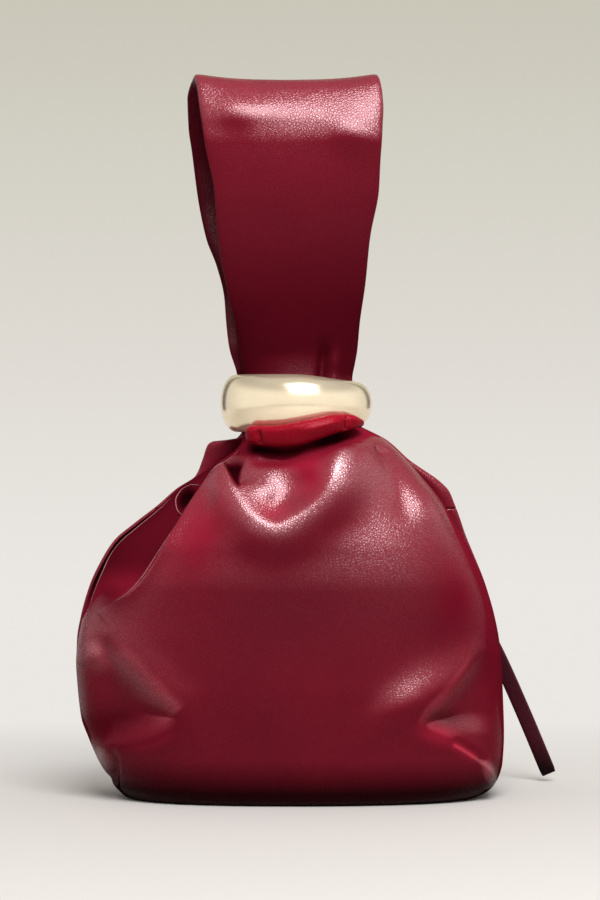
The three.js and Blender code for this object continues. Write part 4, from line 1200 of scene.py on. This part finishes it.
def make_lining(material):
    heights = np.linspace(LINING_LOW, LINING_HIGH, LINING_ROWS)
    turn = np.linspace(0, 2 * np.pi, LINING_COLUMNS, endpoint=False)
    turns, levels = np.meshgrid(turn, heights)
    outer = lining_point(turns, levels, 0.0)
    inner = lining_point(turns, levels, LINING_THICKNESS)[::-1]
    grid = np.concatenate([outer, inner], axis=0)
    piece = new_object("lining_cloth", grid.reshape(-1, 3), ring_faces(*grid.shape[:2]), "bag",
                       material)
    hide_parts("lining")


def make_pocket(material):
    heights = np.linspace(POCKET_LOW, POCKET_HIGH, POCKET_ROWS)
    turn = np.linspace(-POCKET_TURN, POCKET_TURN, POCKET_COLUMNS) - math.pi / 2
    turns, levels = np.meshgrid(turn, heights)
    outer = lining_point(turns, levels, LINING_THICKNESS + POCKET_GAP)
    outer[..., 1] += POCKET_GAPE * smoothstep(POCKET_GAPE_FROM, POCKET_HIGH, levels)
    inner = outer + LINING_THICKNESS * DEPTHWISE
    vertices, faces = sheet_mesh(outer, inner)
    piece = new_object("pocket_cloth", vertices, faces, "bag", material)
    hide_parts("slip_pocket")


# Materials


class Nodes:
    """The node tree of a material or of the world, built one node at a time."""

    def __init__(self, owner, coordinates="Object"):
        self.owner = owner
        owner.use_nodes = True
        self.tree = owner.node_tree
        self.place = self.add("ShaderNodeTexCoord").outputs[coordinates]

    def feed(self, socket, value):
        """Sets a socket to a value, or links another node's socket to it."""
        if isinstance(value, bpy.types.NodeSocket):
            self.tree.links.new(value, socket)
        else:
            socket.default_value = value

    def add(self, kind, inputs=None, **settings):
        node = self.tree.nodes.new(kind)
        for key, value in settings.items():
            setattr(node, key, value)
        for key, value in (inputs or {}).items():
            self.feed(node.inputs[key], value)
        return node

    def noise(self, scale, detail=2.0, roughness=0.5, stretch=None):
        place = self.place
        if stretch:
            mapping = self.add("ShaderNodeMapping", {"Vector": place, "Scale": stretch})
            place = mapping.outputs["Vector"]
        node = self.add("ShaderNodeTexNoise", {"Vector": place, "Scale": scale, "Detail": detail,
                                               "Roughness": roughness})
        return node.outputs["Fac"]

    def part(self, vector, axis):
        return self.add("ShaderNodeSeparateXYZ", {0: vector}).outputs[axis]

    def spread(self, source, span, onto=(0.0, 1.0), kind="LINEAR"):
        """Stretches a span of values onto another one, and holds it there beyond its ends."""
        inputs = {"Value": source, "From Min": span[0], "From Max": span[1], "To Min": onto[0],
                  "To Max": onto[1]}
        return self.add("ShaderNodeMapRange", inputs, interpolation_type=kind).outputs["Result"]

    def ramp(self, source, stops):
        node = self.add("ShaderNodeValToRGB", {"Fac": source})
        elements = node.color_ramp.elements
        while len(elements) < len(stops):
            elements.new(0.5)
        for element, (position, colour) in zip(elements, stops):
            element.position = position
            element.color = (*colour, 1.0)
        return node.outputs["Color"]

    def scaled(self, vector, factor):
        inputs = {0: vector, "Scale": factor}
        return self.add("ShaderNodeVectorMath", inputs, operation="SCALE").outputs["Vector"]

    def combined(self, operation, one, other):
        inputs = {0: one, 1: other}
        return self.add("ShaderNodeMath", inputs, operation=operation).outputs["Value"]

    def cells(self, scale):
        """Distances to the edges of cells that are bent, so that they don't look regular."""
        noise = self.add("ShaderNodeTexNoise", {"Vector": self.place, "Scale": CELL_BEND_SCALE})
        offset = self.scaled(noise.outputs["Color"], CELL_BEND)
        moved = self.add("ShaderNodeVectorMath", {0: self.place, 1: offset}, operation="ADD")
        inputs = {"Vector": moved.outputs["Vector"], "Scale": scale}
        node = self.add("ShaderNodeTexVoronoi", inputs, feature="DISTANCE_TO_EDGE")
        return node.outputs["Distance"]

    def shade(self, name, span=(-1.0, 1.0), onto=(0.0, 2.0)):
        """A piece's shade of that name. As it is set here, it gives one plus the shade, and one
        where the piece has none."""
        attribute = self.add("ShaderNodeAttribute", attribute_name=name)
        return self.spread(attribute.outputs["Fac"], span, onto)

    def bump(self, height, strength, distance, before=None):
        inputs = {"Height": height, "Strength": strength, "Distance": distance}
        if before is not None:
            inputs["Normal"] = before
        return self.add("ShaderNodeBump", inputs).outputs["Normal"]

    def finish(self, **sockets):
        """Feeds the surface shader's sockets, named in small letters, and gives the material."""
        shader = self.tree.nodes["Principled BSDF"]
        for name, value in sockets.items():
            title = name.replace("_", " ").title().replace("Ior", "IOR")
            self.feed(shader.inputs[title], value)
        return self.owner


NOISE_MIDDLE = (0.3, 0.7)  # the span of a noise that most of its values lie in
CELL_BEND = 0.0003
CELL_BEND_SCALE = 600.0
GRAIN_CELLS = 700.0  # per metre
PORE_WIDTH = (0.0, 0.30)
PORE_DEPTH = 0.00008
PORE_DULL = (0.45, 1.0)  # gloss in the pores and between them
LEATHER_IOR = 1.8
PAINTED_LIGHT_UP = (-0.10, 0.45)  # upward share of the normal over which the leather's colour is painted lighter, as where the light falls from above
PAINTED_LIGHT_SCALE = (0.93, 1.8)
GLOSS_UP = (-0.02, 0.40)  # the same for its gloss
PLAIN_GLOSS = 0.05  # where it doesn't face up
RIDGE_GLOSS = 0.4
GLOSS_TINT = (1.0, 0.72, 0.76, 1.0)
FOOT_HEIGHTS = (0.007, 0.024)  # the leather's colour is painted darker towards the floor between these heights, a painted shade under its foot
PAINTED_FOOT_SHADE = (0.10, 1.0)
LEATHER_TONES = ((0.30, (0.112, 0.0042, 0.0122)), (0.5, (0.130, 0.0050, 0.0140)),
                 (0.72, (0.148, 0.0058, 0.0160)))
# the gathered lip's leather is painted lighter and redder than the rest: painted light on the roll
# in front of the neck
LIP_PAINTED_LIGHT_TONES = ((0.3, (0.175, 0.0016, 0.0080)), (0.7, (0.22, 0.0022, 0.0105)))
THREAD_TONES = ((0.3, (0.27, 0.050, 0.070)), (0.7, (0.34, 0.066, 0.090)))
EDGE_AND_HIGHLIGHT_TONES = ((0.3, (0.16, 0.05, 0.06)), (0.7, (0.22, 0.08, 0.09)))
PULL_TONES = ((0.3, (0.034, 0.004, 0.008)), (0.7, (0.052, 0.006, 0.012)))
GOLD_TONES = ((0.3, (0.90, 0.76, 0.54)), (0.7, (0.96, 0.83, 0.61)))
BOARD_TONES = ((0.3, (0.16, 0.11, 0.07)), (0.7, (0.26, 0.19, 0.12)))
TAPE_TONES = ((0.0, (0.03, 0.003, 0.006)), (1.0, (0.10, 0.010, 0.018)))
CLOTH_TONES = ((0.0, (0.38, 0.29, 0.21)), (1.0, (0.55, 0.45, 0.35)))
TAPE_PITCH = 0.0004  # between threads, in metres
CLOTH_PITCH = 0.0006
WAVES_PER_PITCH = 0.314  # a wave texture's scale times its pitch
WEAVE_ROUGHNESS = (0.72, 0.88)
BRUSHING = (1, 1, 6)


def new_material(name):
    return Nodes(bpy.data.materials.new(name))


def leather(name, tones=LEATHER_TONES, specular=0.9, rough=(0.25, 0.29), grain=0.9, foot=True):
    """Grained leather whose colour carries painted light and shade: lighter where it faces up,
    darker towards the floor where asked, and as its piece's painted shading sets. Its piece's sheen
    polishes or dulls its gloss.
    """
    nodes = new_material(name)
    up = nodes.part(nodes.add("ShaderNodeNewGeometry").outputs["Normal"], "Z")
    # Painted light and shade in the colour: lighter where the leather faces up, then the piece's
    # painted shading
    painted_light = nodes.spread(up, PAINTED_LIGHT_UP, PAINTED_LIGHT_SCALE, "SMOOTHSTEP")
    colour = nodes.ramp(nodes.noise(scale=14.0, detail=3.0), tones)
    colour = nodes.scaled(colour, nodes.combined("MULTIPLY", painted_light, nodes.shade("painted_shading")))
    # Painted shade: darker towards the floor
    if foot:
        height = nodes.part(nodes.place, "Z")
        colour = nodes.scaled(colour, nodes.spread(height, FOOT_HEIGHTS, PAINTED_FOOT_SHADE))
    pores = nodes.spread(nodes.cells(GRAIN_CELLS), PORE_WIDTH)
    soft = nodes.noise(scale=150.0, detail=3.0, roughness=0.6)
    normal = nodes.bump(soft, strength=0.14, distance=0.0005)
    normal = nodes.bump(pores, strength=grain, distance=PORE_DEPTH, before=normal)
    fine = nodes.noise(scale=2400.0)
    normal = nodes.bump(fine, strength=0.2, distance=0.00002, before=normal)
    # Gloss: higher where the leather faces up, towards the key light, and lower in its pores
    gloss = nodes.spread(up, GLOSS_UP, (PLAIN_GLOSS, specular), "SMOOTHSTEP")
    gloss = nodes.combined("MULTIPLY", gloss, nodes.shade("sheen"))
    ridges = nodes.shade("sheen", span=(0.0, 1.0), onto=(0.0, RIDGE_GLOSS))
    gloss = nodes.combined("ADD", gloss, ridges)
    gloss = nodes.combined("MULTIPLY", gloss, nodes.spread(pores, (0.0, 1.0), PORE_DULL))
    return nodes.finish(
        base_color=colour, normal=normal, specular_ior_level=gloss, specular_tint=GLOSS_TINT,
        roughness=nodes.spread(nodes.noise(scale=60.0, detail=4.0), NOISE_MIDDLE, rough),
        ior=LEATHER_IOR,
    )


def metal(name, tones, rough, scratch=0.03, metallic=1.0):
    nodes = new_material(name)
    smear = nodes.noise(scale=180.0, detail=4.0, roughness=0.7)
    brushed = nodes.noise(scale=90.0, detail=3.0, roughness=0.6, stretch=BRUSHING)
    return nodes.finish(
        base_color=nodes.ramp(nodes.noise(scale=40.0), tones), metallic=metallic,
        roughness=nodes.spread(smear, NOISE_MIDDLE, rough),
        normal=nodes.bump(brushed, strength=scratch, distance=0.0002),
    )


def woven(name, tones, pitch):
    """A plain weave of threads at a pitch in metres."""
    nodes = new_material(name)
    waves = []
    for axis in ("X", "Z"):
        inputs = {"Vector": nodes.place, "Scale": WAVES_PER_PITCH / pitch, "Distortion": 0.6}
        wave = nodes.add("ShaderNodeTexWave", inputs, bands_direction=axis)
        waves.append(wave.outputs["Fac"])
    both = nodes.combined("MULTIPLY", *waves)
    return nodes.finish(
        base_color=nodes.ramp(both, tones),
        roughness=nodes.spread(nodes.noise(scale=300.0), NOISE_MIDDLE, WEAVE_ROUGHNESS),
        normal=nodes.bump(both, strength=0.6, distance=pitch / 4),
    )


def board(name):
    nodes = new_material(name)
    fibres = nodes.noise(scale=900.0, detail=5.0, roughness=0.7)
    return nodes.finish(
        base_color=nodes.ramp(fibres, BOARD_TONES),
        roughness=nodes.spread(nodes.noise(scale=400.0), NOISE_MIDDLE, (0.8, 0.95)),
        normal=nodes.bump(nodes.noise(scale=700.0, detail=4.0), strength=0.4, distance=0.0001),
    )


ZIP_METAL_NODES = ("zip_teeth_upper", "zip_teeth_lower", "zip_bottom_stop", "zip_top_stop_upper",
                   "zip_top_stop_lower", "zip_slider")


def dress_nodes(zip_metal, base_board):
    """Gives the CAD nodes that stay in view their finishes."""
    finishes = {node: zip_metal for node in ZIP_METAL_NODES}
    finishes["base_board"] = base_board
    for node, finish in finishes.items():
        for slot in frame["nodes"][node].material_slots:
            slot.material = finish


# The floor, the backdrop and the light, in metres

SWEEP_HALF_WIDTH = 1.3
SWEEP_FRONT = -3.0
SWEEP_BEND = 1.7  # where the floor starts to rise, behind the bag
SWEEP_RADIUS = 0.5
SWEEP_TOP = 2.4
SWEEP_STEPS = 16
FLOOR_COLOUR = (0.75, 0.72, 0.695, 1.0)
FLOOR_ENDS = (0.0, 0.36)  # depths between which the floor turns into the wall's own painted glow, which takes the place of the lamps' light and the bag's shadow there
# The wall's glow darkens upwards: a painted fall-off of the studio light
WALL_HEIGHTS = (-0.075, 1.01)
WALL_TONES = ((0.0, (0.855, 0.825, 0.795)), (0.3, (0.74, 0.71, 0.66)), (0.62, (0.62, 0.60, 0.52)),
              (1.0, (0.50, 0.48, 0.38)))
KEY_PLACE = (0.28, -1.15, 1.36)
KEY_TARGET = (0, 0, 0.2)
KEY_SIZE = (1.05, 0.92)
KEY_RADIANCE = 9.5
# How bright the surroundings are that shine in the gloss, from the front at 0 to the back at 1
CARDS = ((0.0, 0.95), (0.45, 0.95), (0.60, 0.80), (0.80, 0.75), (0.84, 0.02), (0.925, 0.02),
         (0.935, 0.8))
CARD_BLUE = 0.98  # share of blue
OVERHEAD = (0.40, 0.65)  # upward share of a direction over which they darken
OVERHEAD_LEVELS = (1.0, 0.40)
FILL_COLOUR = (0.42, 0.41, 0.39, 1.0)


def sweep_material():
    """A floor that catches shadows and runs over into a wall that shines by itself."""
    nodes = new_material("sweep")
    nodes.finish(base_color=FLOOR_COLOUR, roughness=0.75, specular_ior_level=0.15)
    tone = nodes.ramp(nodes.spread(nodes.part(nodes.place, "Z"), WALL_HEIGHTS), WALL_TONES)
    wall = nodes.add("ShaderNodeEmission", {"Color": tone, "Strength": 1.0})
    mix = nodes.add("ShaderNodeMixShader", {
        0: nodes.spread(nodes.part(nodes.place, "Y"), FLOOR_ENDS),
        1: nodes.tree.nodes["Principled BSDF"].outputs["BSDF"],
        2: wall.outputs["Emission"],
    })
    nodes.feed(nodes.tree.nodes["Material Output"].inputs["Surface"], mix.outputs["Shader"])
    return nodes.owner


def make_stage():
    profile = [(SWEEP_FRONT, 0.0), (-1.0, 0.0), (0.0, 0.0), (SWEEP_BEND, 0.0)]
    for angle in np.linspace(0, math.pi / 2, SWEEP_STEPS + 1)[1:]:
        profile.append((SWEEP_BEND + SWEEP_RADIUS * math.sin(angle),
                        SWEEP_RADIUS * (1 - math.cos(angle))))
    profile.append((SWEEP_BEND + SWEEP_RADIUS, SWEEP_TOP))
    vertices = []
    for y, z in profile:
        vertices += [(-SWEEP_HALF_WIDTH, y, z), (SWEEP_HALF_WIDTH, y, z)]
    faces = [(2 * i, 2 * i + 1, 2 * i + 3, 2 * i + 2) for i in range(len(profile) - 1)]
    mesh = bpy.data.meshes.new("sweep")
    mesh.from_pydata(vertices, [], faces)
    mesh.polygons.foreach_set("use_smooth", [True] * len(mesh.polygons))
    mesh.materials.append(sweep_material())
    sweep = bpy.data.objects.new("sweep", mesh)
    bpy.context.scene.collection.objects.link(sweep)


def make_light(name, place, target, size, radiance):
    """A soft rectangular light of a given radiance, so that its size can change alone."""
    data = bpy.data.lights.new(name, "AREA")
    data.shape = "RECTANGLE"
    data.size, data.size_y = size
    data.energy = radiance * math.pi * size[0] * size[1]
    light = bpy.data.objects.new(name, data)
    light.location = place
    direction = np.array(target) - np.array(place)
    flat = math.hypot(direction[0], direction[1])
    light.rotation_euler = (
        math.pi / 2 + math.atan2(direction[2], flat), 0.0, math.atan2(-direction[0], direction[1])
    )
    bpy.context.scene.collection.objects.link(light)


def make_world():
    """Bright cards round the bag for its gloss, darker overhead so that only the key light
    shines on the leather's upper sides, and an even fill for everything else."""
    world = bpy.data.worlds.new("studio")
    bpy.context.scene.world = world
    nodes = Nodes(world, "Generated")
    levels = [(position, (level, level, level * CARD_BLUE)) for position, level in CARDS]
    cards = nodes.ramp(nodes.spread(nodes.part(nodes.place, "Y"), (-1.0, 1.0)), levels)
    overhead = nodes.spread(nodes.part(nodes.place, "Z"), OVERHEAD, OVERHEAD_LEVELS)
    studio = nodes.add("ShaderNodeBackground", {"Color": nodes.scaled(cards, overhead)})
    fill = nodes.tree.nodes["Background"]
    nodes.feed(fill.inputs["Color"], FILL_COLOUR)
    mix = nodes.add("ShaderNodeMixShader", {
        0: nodes.add("ShaderNodeLightPath").outputs["Is Glossy Ray"],
        1: fill.outputs["Background"],
        2: studio.outputs["Background"],
    })
    nodes.feed(nodes.tree.nodes["World Output"].inputs["Surface"], mix.outputs["Shader"])


def make_scene():
    make_camera()
    red = leather("burgundy_leather")
    # A pale leather for the painted highlights along the front's fold edges, and for the base's
    # bound edge
    edge = leather("leather_edge_and_highlight", EDGE_AND_HIGHLIGHT_TONES, rough=(0.5, 0.6), grain=0.2)
    cloth = woven("lining_cloth", CLOTH_TONES, CLOTH_PITCH)
    make_front_panel(red, edge)
    make_rear(red, leather("thread", THREAD_TONES, specular=0.4, grain=0.3))
    make_ring(metal("champagne_gold", GOLD_TONES, (0.16, 0.20), metallic=0.72))
    # The lip is a lighter copy of the burgundy leather: painted light
    make_lip(leather("gathered_leather_painted_light", LIP_PAINTED_LIGHT_TONES, specular=0.12, foot=False))
    make_strap(red)
    make_tapes(woven("zip_tape", TAPE_TONES, TAPE_PITCH))
    make_pull(leather("rear_leather", PULL_TONES, specular=0.3))
    make_base(red, edge)
    make_lining(cloth)
    make_pocket(cloth)
    dress_nodes(metal("zip_metal", GOLD_TONES, (0.18, 0.28), scratch=0.08), board("grey_board"))
    make_stage()
    make_light("key", KEY_PLACE, KEY_TARGET, KEY_SIZE, KEY_RADIANCE)
    make_world()
    bpy.context.scene.view_settings.view_transform = "Standard"


make_scene()
